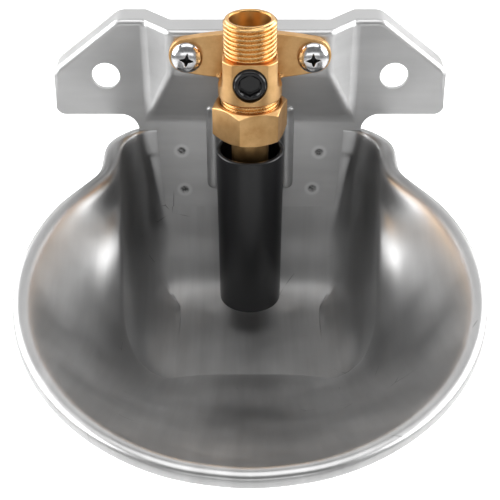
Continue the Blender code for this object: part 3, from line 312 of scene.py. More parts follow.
def steel(name, colour, metallic, roughness, streaks, dull=0.0, welds=()):
    """Satin sheet: soft unevenness from the press, fine grain, streaks along the draw, light scratches."""
    material, tree, shader = start_material(name, colour, metallic, roughness)
    cloud = noise(tree, place_of(tree), scale=28.0, detail=3.0)
    grain = noise(tree, place_of(tree), scale=2600.0)
    streak = noise(tree, place_of(tree, streaks), scale=1.0, detail=3.0, roughness=0.6)
    scratch = maths(tree, "MAXIMUM", scratches(tree, 70.0, 0.4, 0.66), scratches(tree, 38.0, 1.9, 0.68))
    tone = mapped(tree, maths(tree, "MULTIPLY", cloud, streak), (0.12, 0.42), FULL)
    colours = blended(tree, tone, faded(colour, 0.80), colour)
    worn = blended(tree, scratch, colours, faded(colour, 0.35))
    if welds:
        # Each spot weld is a dull dark core in a bright burnished ring
        ring = maths(tree, "MULTIPLY", near_points(tree, welds, WELD_RING), 0.5)
        worn = blended(tree, ring, worn, faded(colour, 1.25))
        pitted = mapped(tree, noise(tree, place_of(tree), scale=900.0, detail=3.0), (0.35, 0.6), (0.45, 1.0))
        core = maths(tree, "MULTIPLY", near_points(tree, welds, WELD_CORE), pitted)
        worn = blended(tree, core, worn, faded(colour, 0.16))
    tree.links.new(worn, shader.inputs["Base Color"])
    rough = maths(tree, "ADD", mapped(tree, cloud, (0.3, 0.7), give_or_take(roughness, 0.05)),
                  mapped(tree, grain, (0.3, 0.7), give_or_take(0.0, 0.02)))
    if dull:
        height = tree.nodes.new("ShaderNodeSeparateXYZ")
        tree.links.new(place_of(tree), height.inputs[0])
        rough = maths(tree, "ADD", rough, mapped(
            tree, height.outputs["Z"], (DULL_TOP, DULL_LOW), (0.0, dull), True))
    tree.links.new(rough, shader.inputs["Roughness"])
    bumped(tree, shader, cloud, 0.35, PRESS_RELIEF)
    bumped(tree, shader, streak, 0.30, STREAK_RELIEF)
    bumped(tree, shader, grain, 0.12, GRAIN_RELIEF)
    bumped(tree, shader, scratch, -0.5, SCRATCH_RELIEF)
    return material


def brass(name, colour, roughness, grain_scale, relief, patches=1.0):
    """Brass with tarnish in patches and a cast or turned grain."""
    material, tree, shader = start_material(name, colour, 1.0, roughness)
    cloud = noise(tree, place_of(tree), scale=120.0, detail=4.0, roughness=0.6)
    grain = noise(tree, place_of(tree), grain_scale, detail=3.0)
    tarnish = tuple(c * (1.0 - patches * loss) for c, loss in zip(colour, (0.20, 0.28, 0.38)))
    patch = mapped(tree, cloud, (0.35, 0.65), FULL)
    tree.links.new(blended(tree, patch, tarnish, colour), shader.inputs["Base Color"])
    rough = mapped(tree, grain, (0.25, 0.75), give_or_take(roughness, 0.06))
    tree.links.new(rough, shader.inputs["Roughness"])
    bumped(tree, shader, grain, 0.5, relief)
    return material


def plastic(name, colour, roughness):
    """Black moulding with a fine grain, soft flow marks along its draw and paler scratches."""
    material, tree, shader = start_material(name, colour, 0.0, roughness)
    grain = noise(tree, place_of(tree), scale=1500.0)
    cloud = noise(tree, place_of(tree, (60.0, 60.0, 14.0)), scale=1.0, detail=3.0)
    scratch = scratches(tree, 90.0, 0.8, 0.70)
    tree.links.new(blended(tree, scratch, colour, (0.10, 0.10, 0.10)), shader.inputs["Base Color"])
    rough = mapped(tree, cloud, (0.3, 0.7), (roughness - 0.05, roughness + 0.07))
    tree.links.new(rough, shader.inputs["Roughness"])
    bumped(tree, shader, grain, 0.25, MOULD_GRAIN_RELIEF)
    bumped(tree, shader, cloud, 0.2, MOULD_RELIEF)
    return material


def zinc(name, colour, roughness):
    """Bright plated steel with slight spots."""
    material, tree, shader = start_material(name, colour, 1.0, roughness)
    cloud = noise(tree, place_of(tree), scale=700.0, detail=3.0)
    spots = blended(tree, mapped(tree, cloud, (0.35, 0.65), FULL), faded(colour, 0.8), colour)
    tree.links.new(spots, shader.inputs["Base Color"])
    rough = mapped(tree, cloud, (0.3, 0.7), (roughness - 0.04, roughness + 0.06))
    tree.links.new(rough, shader.inputs["Roughness"])
    bumped(tree, shader, cloud, 0.15, ZINC_RELIEF)
    return material


def rubber(name):
    material, tree, shader = start_material(name, (0.02, 0.02, 0.02), 0.0, 0.6)
    grain = noise(tree, place_of(tree), scale=1800.0)
    tree.links.new(mapped(tree, grain, (0.3, 0.7), (0.5, 0.7)), shader.inputs["Roughness"])
    bumped(tree, shader, grain, 0.3, GRAIN_RELIEF)
    return material


# The streaks of a steel are its noise's scales along x, y and z
BOWL_STREAKS = (150.0, 12.0, 9.0)
PLATE_STREAKS = (14.0, 14.0, 90.0)

MATERIALS = {
    "bowl_steel": steel("bowl_steel", (0.61, 0.61, 0.61), 0.96, 0.35, BOWL_STREAKS, dull=0.14),
    "plate_steel": steel("plate_steel", (0.63, 0.63, 0.63), 0.88, 0.37, PLATE_STREAKS, welds=WELD_POINTS),
    "cast_brass": brass("cast_brass", (0.76, 0.475, 0.215), 0.38, 1500.0, CAST_RELIEF),
    "turned_brass": brass("turned_brass", (0.82, 0.51, 0.22), 0.25, 2400.0, TURNED_RELIEF, patches=0.35),
    "zinc": zinc("zinc", (0.80, 0.80, 0.81), 0.16),
    "sleeve_plastic": plastic("sleeve_plastic", (0.008, 0.008, 0.009), 0.32),
    "screw_plastic": plastic("screw_plastic", (0.005, 0.005, 0.006), 0.24),
    "seal_rubber": rubber("seal_rubber"),
    "spring_steel": zinc("spring_steel", (0.62, 0.62, 0.62), 0.25),
}
# Painted shade: a darker brass for the drink pipe, which stands in the sleeve's shade
PIPE_SHADE_BRASS = brass("pipe_painted_shade_brass", (0.40, 0.25, 0.11), 0.38, 1500.0, PIPE_RELIEF)
# Painted shade: a darker brass for the inside of the inlet's bore
BORE_SHADE_BRASS = brass("bore_painted_shade_brass", (0.46, 0.25, 0.08), 0.34, 2400.0, TURNED_RELIEF)
# Painted shade: a near-black material for the floor and walls of the screws' cross recesses
RECESS_PAINTED_SHADE = rubber("recess_painted_shade")


def dress_nodes():
    """Gives every CAD node the material of its slot."""
    for part in frame["record"]["subparts"]:
        node = NODES[part["node"]]
        node.data.materials.clear()
        node.data.materials.append(MATERIALS[part["material_slot"]])


def add_piece(name, mesh, slot, body, *replaced):
    """A piece that rides on a body, takes a slot's material and stands for CAD nodes."""
    mesh.materials.clear()
    mesh.materials.append(MATERIALS[slot])
    piece = linked(name, mesh)
    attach(piece, body)
    if replaced:
        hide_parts(*replaced)
    return piece


def add_second_material(piece, material, chosen):
    """Gives the chosen faces, one truth value a face, a material of their own."""
    piece.data.materials.append(material)
    for face, is_chosen in zip(piece.data.polygons, chosen):
        face.material_index = int(is_chosen)


# Mesh building

def linked(name, data):
    obj = bpy.data.objects.new(name, data)
    bpy.context.scene.collection.objects.link(obj)
    return obj


def mesh_of(name, bm):
    mesh = bpy.data.meshes.new(name)
    bm.to_mesh(mesh)
    bm.free()
    return mesh


def baked(obj):
    """The object's mesh with its modifiers applied. The object itself goes."""
    bpy.context.view_layer.update()
    mesh = bpy.data.meshes.new_from_object(obj.evaluated_get(bpy.context.evaluated_depsgraph_get()))
    bpy.data.objects.remove(obj, do_unlink=True)
    return mesh


def ring(bm, radius, z, steps):
    """A circle of vertices about Z, or the one vertex on the axis."""
    if radius < SAME_POINT:
        return [bm.verts.new((0.0, 0.0, z))]
    angles = [2.0 * math.pi * k / steps for k in range(steps)]
    return [bm.verts.new((radius * math.cos(a), radius * math.sin(a), z)) for a in angles]


def bridged(name, bm, rings, steps):
    """The mesh whose faces join each ring to the next, with a fan where a ring is one vertex."""
    for a, b in zip(rings, rings[1:]):
        for k in range(steps):
            corners = [a[k % len(a)], a[(k + 1) % len(a)], b[(k + 1) % len(b)], b[k % len(b)]]
            corners = [v for i, v in enumerate(corners) if v not in corners[:i]]
            if len(corners) > 2:
                bm.faces.new(corners)
    bmesh.ops.recalc_face_normals(bm, faces=bm.faces)
    return mesh_of(name, bm)


def turned(name, profile, steps=128, closed=False):
    """A closed mesh turned about Z from (radius, height) points."""
    bm = bmesh.new()
    rings = [ring(bm, radius, z, steps) for radius, z in profile]
    if closed:
        rings.append(rings[0])
    return bridged(name, bm, rings, steps)


def rounded(corners, steps=8):
    """Points of an outline whose corners (x, z, radius) are rounded by arcs. Open at both ends."""
    points = []
    for i, (x, z, radius) in enumerate(corners):
        here = Vector((x, z))
        if radius <= 0.0 or i in (0, len(corners) - 1):
            points.append(here)
            continue
        before = (Vector(corners[i - 1][:2]) - here).normalized()
        after = (Vector(corners[i + 1][:2]) - here).normalized()
        half = 0.5 * before.angle(after)
        centre = here + (before + after).normalized() * (radius / math.sin(half))
        start = here + before * (radius / math.tan(half)) - centre
        end = here + after * (radius / math.tan(half)) - centre
        sweep = start.angle_signed(end)
        for k in range(steps + 1):
            by = -sweep * k / steps
            c, s = math.cos(by), math.sin(by)
            points.append(centre + Vector((c * start.x - s * start.y, s * start.x + c * start.y)))
    return points


def box_mesh(name, size, centre):
    bm = bmesh.new()
    bmesh.ops.create_cube(bm, size=1.0)
    bmesh.ops.scale(bm, vec=size, verts=bm.verts)
    bmesh.ops.translate(bm, vec=centre, verts=bm.verts)
    return mesh_of(name, bm)


def stack(name, sections):
    """A closed solid from outlines of equal length, one on the next, each a list of points."""
    bm = bmesh.new()
    rings = [[bm.verts.new(point) for point in section] for section in sections]
    for a, b in zip(rings, rings[1:]):
        for k in range(len(a)):
            n = (k + 1) % len(a)
            bm.faces.new((a[k], a[n], b[n], b[k]))
    bm.faces.new(rings[0])
    bm.faces.new(rings[-1])
    bmesh.ops.recalc_face_normals(bm, faces=bm.faces)
    return mesh_of(name, bm)


def prism(name, sides, flats, bottom, top, turn=0.0):
    corner = 0.5 * flats / math.cos(math.pi / sides)
    angles = [turn + 2.0 * math.pi * (k + 0.5) / sides for k in range(sides)]
    return stack(name, [
        [(corner * math.cos(a), corner * math.sin(a), z) for a in angles] for z in (bottom, top)])


def placed(mesh, x, y, z, turn=None):
    """The mesh turned and then moved to a place."""
    if turn is not None:
        mesh.transform(turn)
    mesh.transform(Matrix.Translation((x, y, z)))
    return mesh


def carved(mesh, *cuts):
    """The mesh after a row of cuts and joins, each a cutter mesh and an operation."""
    base = linked("work", mesh)
    tools = []
    for cutter, operation in cuts:
        tool = linked("tool", cutter)
        step = base.modifiers.new("Cut", "BOOLEAN")
        step.object = tool
        step.operation = operation
        step.solver = "EXACT"
        tools.append(tool)
    result = baked(base)
    for tool in tools:
        bpy.data.objects.remove(tool, do_unlink=True)
    return result


def softened(mesh, voxel, rounds):
    """The solid on an even fine grid, its edges rounded as a casting's or a moulding's are."""
    base = linked("work", mesh)
    grid = base.modifiers.new("Grid", "REMESH")
    grid.mode = "VOXEL"
    grid.voxel_size = voxel * 1.0
    grid.use_smooth_shade = True
    ease = base.modifiers.new("Ease", "SMOOTH")
    ease.factor = 0.5
    ease.iterations = rounds
    return baked(base)


def joined(name, *meshes):
    bm = bmesh.new()
    for mesh in meshes:
        bm.from_mesh(mesh)
    mesh = mesh_of(name, bm)
    mesh.shade_smooth()
    return mesh


def shade_edges(mesh, angle):
    """Smooth shading that leaves every edge sharper than the angle crisp."""
    mesh.shade_smooth()
    mesh.set_sharp_from_angle(angle=angle)


# Threads

THREAD_STEPS = 120
ROWS_PER_TURN = 14
CREST_SHARE = 0.20
# What is left of the crest at a chamfered end, and how the thread runs out in a groove
END_LAND = 0.00015
GROOVE_SHARE = 0.3
RUNOUT_SLOPE = 1.4


def thread_depth(phase):
    """Share of the thread's depth at a share of its pitch: a rounded crest and a narrower root."""
    wave = 0.5 - 0.5 * math.cos(2.0 * math.pi * phase)
    return max(wave - CREST_SHARE, 0.0) / (1.0 - CREST_SHARE)


def threaded(name, radius, depth, pitch, low, high, inside, chamfered=False, groove=0.0, steps=THREAD_STEPS):
    """A closed body with a helical thread outside. inside is its profile from its lower to its upper edge."""
    bm = bmesh.new()
    rows = max(int(ROWS_PER_TURN * (high - low) / pitch), 2)
    rings = []
    for i in range(rows + 1):
        z = low + (high - low) * i / rows
        most = radius
        if chamfered:
            most = radius - depth + min(high - z + END_LAND, depth)
        if groove:
            most = min(most, radius - depth + max(z - low - GROOVE_SHARE * groove, 0.0) * RUNOUT_SLOPE)
        row = []
        for k in range(steps):
            angle = 2.0 * math.pi * k / steps
            r = min(radius - depth * thread_depth((z / pitch - k / steps) % 1.0), most)
            row.append(bm.verts.new((r * math.cos(angle), r * math.sin(angle), z)))
        rings.append(row)
    rings += [ring(bm, r, z, steps) for r, z in reversed(inside)]
    return bridged(name, bm, [*rings, rings[0]], steps)


# Bowl: the CAD sheet, with its triangles paired to quads and subdivided

# The edge of the pocket's mouth stays crisp: where it lies, how sharply it turns and how much it is held
MOUTH_LOW = -0.096
MOUTH_HIGH = -0.0375
MOUTH_HALF = 0.0545
MOUTH_ANGLE = math.radians(17.0)
MOUTH_CREASE = 0.45
PAIR = math.radians(40.0)
PAIR_SHAPE = math.radians(70.0)


def add_bowl():
    bm = bmesh.new()
    bm.from_mesh(NODES["bowl"].data)
    bmesh.ops.remove_doubles(bm, verts=bm.verts, dist=SAME_POINT)
    bmesh.ops.join_triangles(
        bm, faces=bm.faces, angle_face_threshold=PAIR, angle_shape_threshold=PAIR_SHAPE)
    crease = bm.edges.layers.float.new("crease_edge")
    for edge in bm.edges:
        middle = 0.5 * (edge.verts[0].co + edge.verts[1].co)
        if len(edge.link_faces) == 2 and MOUTH_LOW < middle.z < MOUTH_HIGH and abs(middle.x) < MOUTH_HALF:
            if edge.calc_face_angle() > MOUTH_ANGLE:
                edge[crease] = MOUTH_CREASE
    mesh = mesh_of("bowl_shell", bm)
    mesh.shade_smooth()
    piece = add_piece("bowl_shell", mesh, "bowl_steel", ROOT, "bowl")
    step = piece.modifiers.new("Finer", "SUBSURF")
    step.levels = step.render_levels = 2


# Back plate: one pressed sheet, laid out by panels as the CAD has it, with rounder folds and weld dimples

PLATE_SHEET = 0.002
FOLD_RADIUS = 0.0024
FOLD_SEGMENTS = 8
FOLD_ANGLE = math.radians(20.0)
PLATE_CRISP = math.radians(35.0)
PAD_Y = -0.0235
PLATE_TOP = 0.0244
PAD_BOTTOM = 0.0057
SLOPE_BOTTOM = -0.0195
PAD_HALF = 0.0325
CREASE_HALF = 0.043
EAR_TOP_HALF = 0.054
EAR_HALF = 0.082
EAR_SHOULDER = 0.002
EAR_BOTTOM = -0.0176
EAR_CORNER = 0.004
EAR_ROUNDING = 0.007
NECK_HALF = 0.0474
NECK_FILLET = 0.0076
NECK_BOTTOM = -0.0252
SKIRT_TOP_HALF = 0.040
SKIRT_BOTTOM_HALF = 0.0376
SKIRT_BOTTOM = -0.0637
SKIRT_CORNER = 0.0015
BOLT_HALF = 0.060
BOLT_HOLE = 0.0118
SCREW_HOLE = 0.0066
HOLE_STEPS = 72
RIB_X = 0.0153
RIB_HALF_WIDTH = 0.0035
RIB_HEIGHT = 0.0022
RIB_WALL = 0.0013
RIB_TOP = -0.0120
RIB_BOTTOM = -0.0540
RIB_END_SHARES = (
    (0.0, 0.10), (0.05, 0.34), (0.14, 0.55), (0.30, 0.78), (0.50, 0.92), (0.75, 0.98), (1.0, 1.0))
RIB_SIDES = 28
WELD_RADIUS = 0.0018
WELD_DEPTH = 0.00028
WELD_CAP_SHARE = 1.4
WELD_CAP_STEPS = 12


def plate_front(z):
    """Where the front of the plate lies at a height below the pad, on its middle."""
    share = min(max((z - SLOPE_BOTTOM) / (PAD_BOTTOM - SLOPE_BOTTOM), 0.0), 1.0)
    return PLATE_Y + (PAD_Y - PLATE_Y) * share


def rib_mesh(x, half_width, height, behind):
    """A bead with rounded ends that follows the sloped panel and the skirt, as a loft of ellipses."""
    places = [(RIB_TOP - half_width * along, size) for along, size in RIB_END_SHARES]
    places.append((SLOPE_BOTTOM, 1.0))
    places += [(RIB_BOTTOM + half_width * along, size) for along, size in reversed(RIB_END_SHARES)]
    angles = [2.0 * math.pi * (k + 0.5) / RIB_SIDES for k in range(RIB_SIDES)]
    return stack("rib", [
        [(x + half_width * size * math.cos(a), plate_front(z) + behind - height * size * math.sin(a), z)
         for a in angles]
        for z, size in places])


def weld_cutter(x, z):
    """A shallow ball cap that presses a dimple into the skirt."""
    ball = (WELD_RADIUS ** 2 + WELD_DEPTH ** 2) / (2.0 * WELD_DEPTH)
    reach = math.asin(WELD_CAP_SHARE * WELD_RADIUS / ball)
    angles = [reach * k / WELD_CAP_STEPS for k in range(WELD_CAP_STEPS + 1)]
    profile = [(ball * math.sin(a), ball * math.cos(a) - ball + WELD_DEPTH) for a in angles]
    profile += [(profile[-1][0], -PLATE_SHEET), (0.0, -PLATE_SHEET)]
    # Its cap points to the rear
    return placed(turned("weld", profile, 40), x, PLATE_Y, z, FACING_FRONT.inverted())


def panel_sheet():
    """The right half of the plate's front as flat panels that meet at its folds."""
    top_edge = rounded([
        (CREASE_HALF, PLATE_TOP, 0.0), (EAR_TOP_HALF, PLATE_TOP, EAR_ROUNDING),
        (EAR_HALF, EAR_SHOULDER, EAR_ROUNDING), (EAR_HALF, EAR_BOTTOM + EAR_CORNER, 0.0)])
    under_edge = rounded([
        (EAR_HALF, EAR_BOTTOM + EAR_CORNER, 0.0), (EAR_HALF, EAR_BOTTOM, EAR_CORNER),
        (NECK_HALF, EAR_BOTTOM, NECK_FILLET), (NECK_HALF, NECK_BOTTOM, 0.0)], 12)
    skirt_edge = rounded([
        (SKIRT_TOP_HALF, NECK_BOTTOM, 0.0), (SKIRT_BOTTOM_HALF, SKIRT_BOTTOM, SKIRT_CORNER),
        (0.0, SKIRT_BOTTOM, 0.0)], 6)[:-1]
    bm = bmesh.new()

    def vert(x, y, z):
        return bm.verts.new((x, y, z))

    pad_top_middle, pad_top = vert(0.0, PAD_Y, PLATE_TOP), vert(PAD_HALF, PAD_Y, PLATE_TOP)
    pad_low_middle, pad_low = vert(0.0, PAD_Y, PAD_BOTTOM), vert(PAD_HALF, PAD_Y, PAD_BOTTOM)
    crease_low, slope_middle = vert(CREASE_HALF, PLATE_Y, SLOPE_BOTTOM), vert(0.0, PLATE_Y, SLOPE_BOTTOM)
    folded = [vert(p.x, PLATE_Y, p.y) for p in top_edge]
    free = [vert(p.x, PLATE_Y, p.y) for p in under_edge[1:]]
    skirt = [vert(p.x, PLATE_Y, p.y) for p in skirt_edge]
    skirt_middle = vert(0.0, PLATE_Y, SKIRT_BOTTOM)
    for panel in (
            [pad_top_middle, pad_low_middle, pad_low, pad_top],
            [pad_low_middle, slope_middle, crease_low, pad_low],
            [pad_top, pad_low, crease_low, folded[0]],
            [slope_middle, skirt_middle, *reversed(skirt), *reversed(free), *reversed(folded), crease_low]):
        bm.faces.new(panel)
    # The folded edge reaches as far back as the ears' front is from the wall
    edge = [pad_top_middle, pad_top, *folded]
    back = [vert(v.co.x, v.co.y - PLATE_Y, v.co.z) for v in edge]
    for i in range(len(edge) - 1):
        bm.faces.new([edge[i], edge[i + 1], back[i + 1], back[i]])
    bmesh.ops.remove_doubles(bm, verts=bm.verts, dist=SAME_POINT)
    bm.normal_update()
    return mesh_of("pressed_plate", bm)


def add_back_plate():
    sheet = linked("work", panel_sheet())
    mirror = sheet.modifiers.new("Halves", "MIRROR")
    mirror.merge_threshold = SAME_POINT
    fold = sheet.modifiers.new("Folds", "BEVEL")
    fold.width = FOLD_RADIUS
    fold.segments = FOLD_SEGMENTS
    fold.limit_method = "ANGLE"
    fold.angle_limit = FOLD_ANGLE
    fold.use_clamp_overlap = False
    thick = sheet.modifiers.new("Sheet", "SOLIDIFY")
    thick.thickness = PLATE_SHEET
    thick.offset = -1.0
    thick.use_even_offset = True
    mesh = baked(sheet)
    cuts = []
    for x in (-RIB_X, RIB_X):
        cuts.append((rib_mesh(x, RIB_HALF_WIDTH, RIB_HEIGHT, 0.0), "UNION"))
        inner = (RIB_HALF_WIDTH - RIB_WALL, RIB_HEIGHT - RIB_WALL + PLATE_SHEET)
        cuts.append((rib_mesh(x, *inner, PLATE_SHEET), "DIFFERENCE"))
    reach = 0.5 * PLATE_SHEET + CUT_OVERRUN
    for width, x, y, z in ((BOLT_HOLE, BOLT_HALF, PLATE_Y, 0.0), (SCREW_HOLE, SCREW_X, PAD_Y, SCREW_Z)):
        for side in (-1.0, 1.0):
            hole = bore(0.5 * width, -reach, reach, HOLE_STEPS)
            cuts.append((placed(hole, side * x, y + 0.5 * PLATE_SHEET, z, FACING_FRONT), "DIFFERENCE"))
    cuts += [(weld_cutter(x, z), "DIFFERENCE") for x, z in WELDS]
    mesh = carved(mesh, *cuts)
    shade_edges(mesh, PLATE_CRISP)
    piece = add_piece("pressed_plate", mesh, "plate_steel", ROOT, "back_plate")
    piece.modifiers.new("Even", "WEIGHTED_NORMAL").keep_sharp = True


# Valve casting with its two threads

BODY_RADIUS = 0.01265
BODY_FLAT = 0.0107
BODY_TOP = 0.0205
BODY_TOP_EDGE = 0.0003
COLLAR_BOTTOM = 0.0035
COLLAR_EDGE = 0.0004
MILL_RADIUS = 0.003
MILL_DEPTH = 0.024
MILL_OVER = 0.004
LEDGE = 0.008
WING_HALF_HEIGHT = 0.00985
WING_END_RADIUS = 0.0073
WING_FRONT_Y = -0.0278
WING_BACK_Y = -0.0238
WING_STEPS = 26
WING_HOLE_RADIUS = 0.0033
# Small cast nubs where the wings leave the body
NUB_RADIUS = 0.0013
NUB_X = 0.0120
NUB_Y = WING_FRONT_Y - 0.0001
NUB_Z = 0.0072
# Bores inside: the water's passage, the seat's chamber, the tail, and the regulating screw's hole and port
PASSAGE = 0.0025
PASSAGE_LOW = 0.0080
PASSAGE_HIGH = 0.0190
CHAMBER_RADIUS = 0.0055
CHAMBER_LOW = 0.0040
CHAMBER_HIGH = 0.0093
TAIL_BORE = 0.0089
TAIL_BORE_HIGH = 0.0047
REGULATOR_BORE = 0.0066
REGULATOR_BORE_START = 0.0060
REGULATOR_BORE_END = 0.0250
PORT_RADIUS = 0.0025
PORT_END = 0.0065
# The threaded inlet stands in a socket with a cone at its foot
SOCKET_RADIUS = 0.0090
SOCKET_LOW = 0.0202
CONE_RADIUS = 0.0040
CONE_LOW = 0.0187
SOCKET_LAP = 0.0001
INLET_RADIUS = 0.010477
INLET_BORE = 0.008
INLET_BORE_LOW = 0.0222
INLET_LOW = 0.0203
INLET_PITCH = 0.001814
INLET_THREAD = 0.00115
INLET_GROOVE = 0.0007
INLET_MOUTH = ((0.0, 0.0007), (0.0002, 0.0002), (0.0006, 0.0))
TAIL_BOTTOM = -0.0042
TAIL_TOP = 0.0038
TAIL_INSIDE_TOP = 0.0040
TAIL_RADIUS = 0.01175
TAIL_PITCH = 0.0015
TAIL_THREAD = 0.0008
TAIL_CHAMFER = 0.0004
WATERWAY_SKIN = 0.00015
CASTING_GRID = 0.00026


def wing_outline():
    """Outline (x, z) of the two wings: a bulged middle that runs out to round ends at the screws."""
    points = []
    for k in range(WING_STEPS + 1):
        share = k / WING_STEPS
        points.append((SCREW_X * share, WING_HALF_HEIGHT - (WING_HALF_HEIGHT - WING_END_RADIUS) * share ** 2))
    for k in range(1, WING_STEPS + 1):
        angle = 0.5 * math.pi * k / WING_STEPS
        points.append((SCREW_X + WING_END_RADIUS * math.sin(angle), WING_END_RADIUS * math.cos(angle)))
    right = points + [(x, -z) for x, z in reversed(points[:-1])]
    return right + [(-x, z) for x, z in reversed(right[1:-1])]


def bore(radius, low, high, steps=96):
    return turned("bore", [(0.0, high), (radius, high), (radius, low), (0.0, low)], steps)


def on_axis(mesh):
    return placed(mesh, 0.0, AXIS_Y, 0.0)


def mill_cutter(angle):
    """What a rounded mill takes away beside the body, down to the ledge, on the side at an angle."""
    tall = BODY_TOP - LEDGE + MILL_OVER
    centre = (0.0, -BODY_FLAT - 0.5 * MILL_DEPTH, LEDGE + 0.5 * tall)
    mill = linked("work", box_mesh("mill", (2.0 * MILL_DEPTH, MILL_DEPTH, tall), centre))
    round_off = mill.modifiers.new("Mill", "BEVEL")
    round_off.width = MILL_RADIUS
    round_off.segments = 12
    round_off.limit_method = "NONE"
    return placed(baked(mill), 0.0, AXIS_Y, 0.0, Matrix.Rotation(angle, 4, "Z"))


def valve_casting():
    body = turned("casting", rounded([
        (0.0, BODY_TOP, 0.0), (BODY_RADIUS, BODY_TOP, BODY_TOP_EDGE),
        (BODY_RADIUS, COLLAR_BOTTOM, COLLAR_EDGE), (0.0, COLLAR_BOTTOM, 0.0)], 3), 144)
    cuts = [(mill_cutter(angle), "DIFFERENCE") for angle in (0.0, 0.5 * math.pi, -0.5 * math.pi)]
    outline = wing_outline()
    wings = stack("wings", [[(x, y, SCREW_Z + z) for x, z in outline] for y in (WING_FRONT_Y, WING_BACK_Y)])
    cuts.append((wings, "UNION"))
    ball = [math.pi * k / 12 for k in range(13)]
    nub = [(NUB_RADIUS * math.sin(a), NUB_RADIUS * math.cos(a)) for a in ball]
    for side in (-1.0, 1.0):
        cuts.append((placed(turned("nub", nub, 24), side * NUB_X, NUB_Y, NUB_Z), "UNION"))
    socket = turned("socket", [
        (0.0, BODY_TOP + 2.0 * CUT_OVERRUN), (SOCKET_RADIUS, BODY_TOP + 2.0 * CUT_OVERRUN),
        (SOCKET_RADIUS, SOCKET_LOW), (CONE_RADIUS, CONE_LOW), (0.0, CONE_LOW)], 96)
    for cutter in (
            socket, bore(PASSAGE, PASSAGE_LOW, PASSAGE_HIGH), bore(CHAMBER_RADIUS, CHAMBER_LOW, CHAMBER_HIGH),
            bore(TAIL_BORE, COLLAR_BOTTOM - CUT_OVERRUN, TAIL_BORE_HIGH)):
        cuts.append((on_axis(cutter), "DIFFERENCE"))
    for cutter in (
            bore(REGULATOR_BORE, REGULATOR_BORE_START, REGULATOR_BORE_END), bore(PORT_RADIUS, 0.0, PORT_END)):
        cuts.append((placed(cutter, 0.0, AXIS_Y, REGULATOR_Z, FACING_FRONT), "DIFFERENCE"))
    wing_y, wing_sheet = 0.5 * (WING_FRONT_Y + WING_BACK_Y), WING_BACK_Y - WING_FRONT_Y
    for side in (-1.0, 1.0):
        hole = bore(WING_HOLE_RADIUS, -wing_sheet, wing_sheet, 48)
        cuts.append((placed(hole, side * SCREW_X, wing_y, SCREW_Z, FACING_FRONT), "DIFFERENCE"))
    return softened(carved(on_axis(body), *cuts), CASTING_GRID, 4)


def add_valve():
    add_piece("valve_casting", joined("valve_casting", valve_casting()), "cast_brass", ROOT, "valve_body")
    inlet_inside = [
        (SOCKET_RADIUS + SOCKET_LAP, SOCKET_LOW - SOCKET_LAP), (CONE_RADIUS, CONE_LOW - SOCKET_LAP),
        (PASSAGE, CONE_LOW - SOCKET_LAP), (PASSAGE, PASSAGE_HIGH), (INLET_BORE, INLET_BORE_LOW)]
    inlet_inside += [(INLET_BORE + out, INLET_TOP - down) for out, down in INLET_MOUTH]
    inlet = threaded("inlet", INLET_RADIUS, INLET_THREAD, INLET_PITCH, INLET_LOW, INLET_TOP, inlet_inside,
                     chamfered=True, groove=INLET_GROOVE)
    tail_inside = [
        (TAIL_BORE + TAIL_CHAMFER, TAIL_BOTTOM), (TAIL_BORE, TAIL_BOTTOM + TAIL_CHAMFER),
        (TAIL_BORE, TAIL_INSIDE_TOP)]
    tail = threaded("tail", TAIL_RADIUS, TAIL_THREAD, TAIL_PITCH, TAIL_BOTTOM, TAIL_TOP, tail_inside)
    threads = joined("valve_threads", on_axis(inlet), on_axis(tail))
    piece = add_piece("valve_threads", threads, "turned_brass", ROOT, "valve_body")
    # Painted shade: the faces inside the inlet's bore take a darker brass
    reach = INLET_BORE + WATERWAY_SKIN
    add_second_material(piece, BORE_SHADE_BRASS, [
        math.hypot(face.center.x, face.center.y - AXIS_Y) < reach for face in threads.polygons])


# Union nut

NUT_FLATS = 0.027
NUT_TURN = math.radians(-15.0)
# The turned blank that chamfers its corners
NUT_BLANK_OVER = 0.0010
NUT_TOP_INSET = 0.0003
NUT_TOP_CHAMFER = 0.0022
NUT_FOOT_INSET = 0.0002
NUT_FOOT_CHAMFER = 0.0018
# Its thread, the mouth above it and the hole in the shoulder below it
NUT_THREAD_RADIUS = 0.01205
NUT_MOUTH_RADIUS = 0.0126
NUT_MOUTH_DEPTH = 0.0006
NUT_SHOULDER = 0.0025
NUT_HOLE_RADIUS = 0.0094
NUT_GRID = 0.00022


def add_nut():
    low, high = NUT_LOW.z, NUT_HIGH.z
    flat = 0.5 * NUT_FLATS
    outer = flat / math.cos(math.pi / 6.0) + NUT_BLANK_OVER
    under, over = low - CUT_OVERRUN, high + CUT_OVERRUN
    blank = turned("blank", [
        (0.0, high), (flat - NUT_TOP_INSET, high), (outer, high - NUT_TOP_CHAMFER),
        (outer, low + NUT_FOOT_CHAMFER), (flat - NUT_FOOT_INSET, low), (0.0, low)], 192)
    inside = turned("inside", [
        (0.0, over), (NUT_MOUTH_RADIUS, over), (NUT_THREAD_RADIUS, high - NUT_MOUTH_DEPTH),
        (NUT_THREAD_RADIUS, low + NUT_SHOULDER), (NUT_HOLE_RADIUS, low + NUT_SHOULDER),
        (NUT_HOLE_RADIUS, under), (0.0, under)], 128)
    hexagon = prism("hexagon", 6, NUT_FLATS, under, over, NUT_TURN)
    mesh = softened(carved(hexagon, (blank, "INTERSECT"), (inside, "DIFFERENCE")), NUT_GRID, 3)
    add_piece("union_hex_nut", joined("union_hex_nut", on_axis(mesh)), "cast_brass", ROOT, "union_nut")


# Tube and sleeve

FLANGE_RADIUS = 0.0105
FLANGE_BOTTOM = -0.0093
TUBE_RADIUS = 0.0075
TUBE_BORE = 0.0060
TUBE_EDGE = 0.0003
FLANGE_FILLET = 0.0002
TUBE_CRISP = math.radians(40.0)
SLEEVE_TOP_RADIUS = 0.01385
SLEEVE_LOW_RADIUS = 0.0132
SLEEVE_WALL = 0.0017
SLEEVE_EDGE = 0.0007
SLEEVE_FOOT_INNER_EDGE = 0.0005
SLEEVE_MOUTH_INNER_EDGE = 0.0004
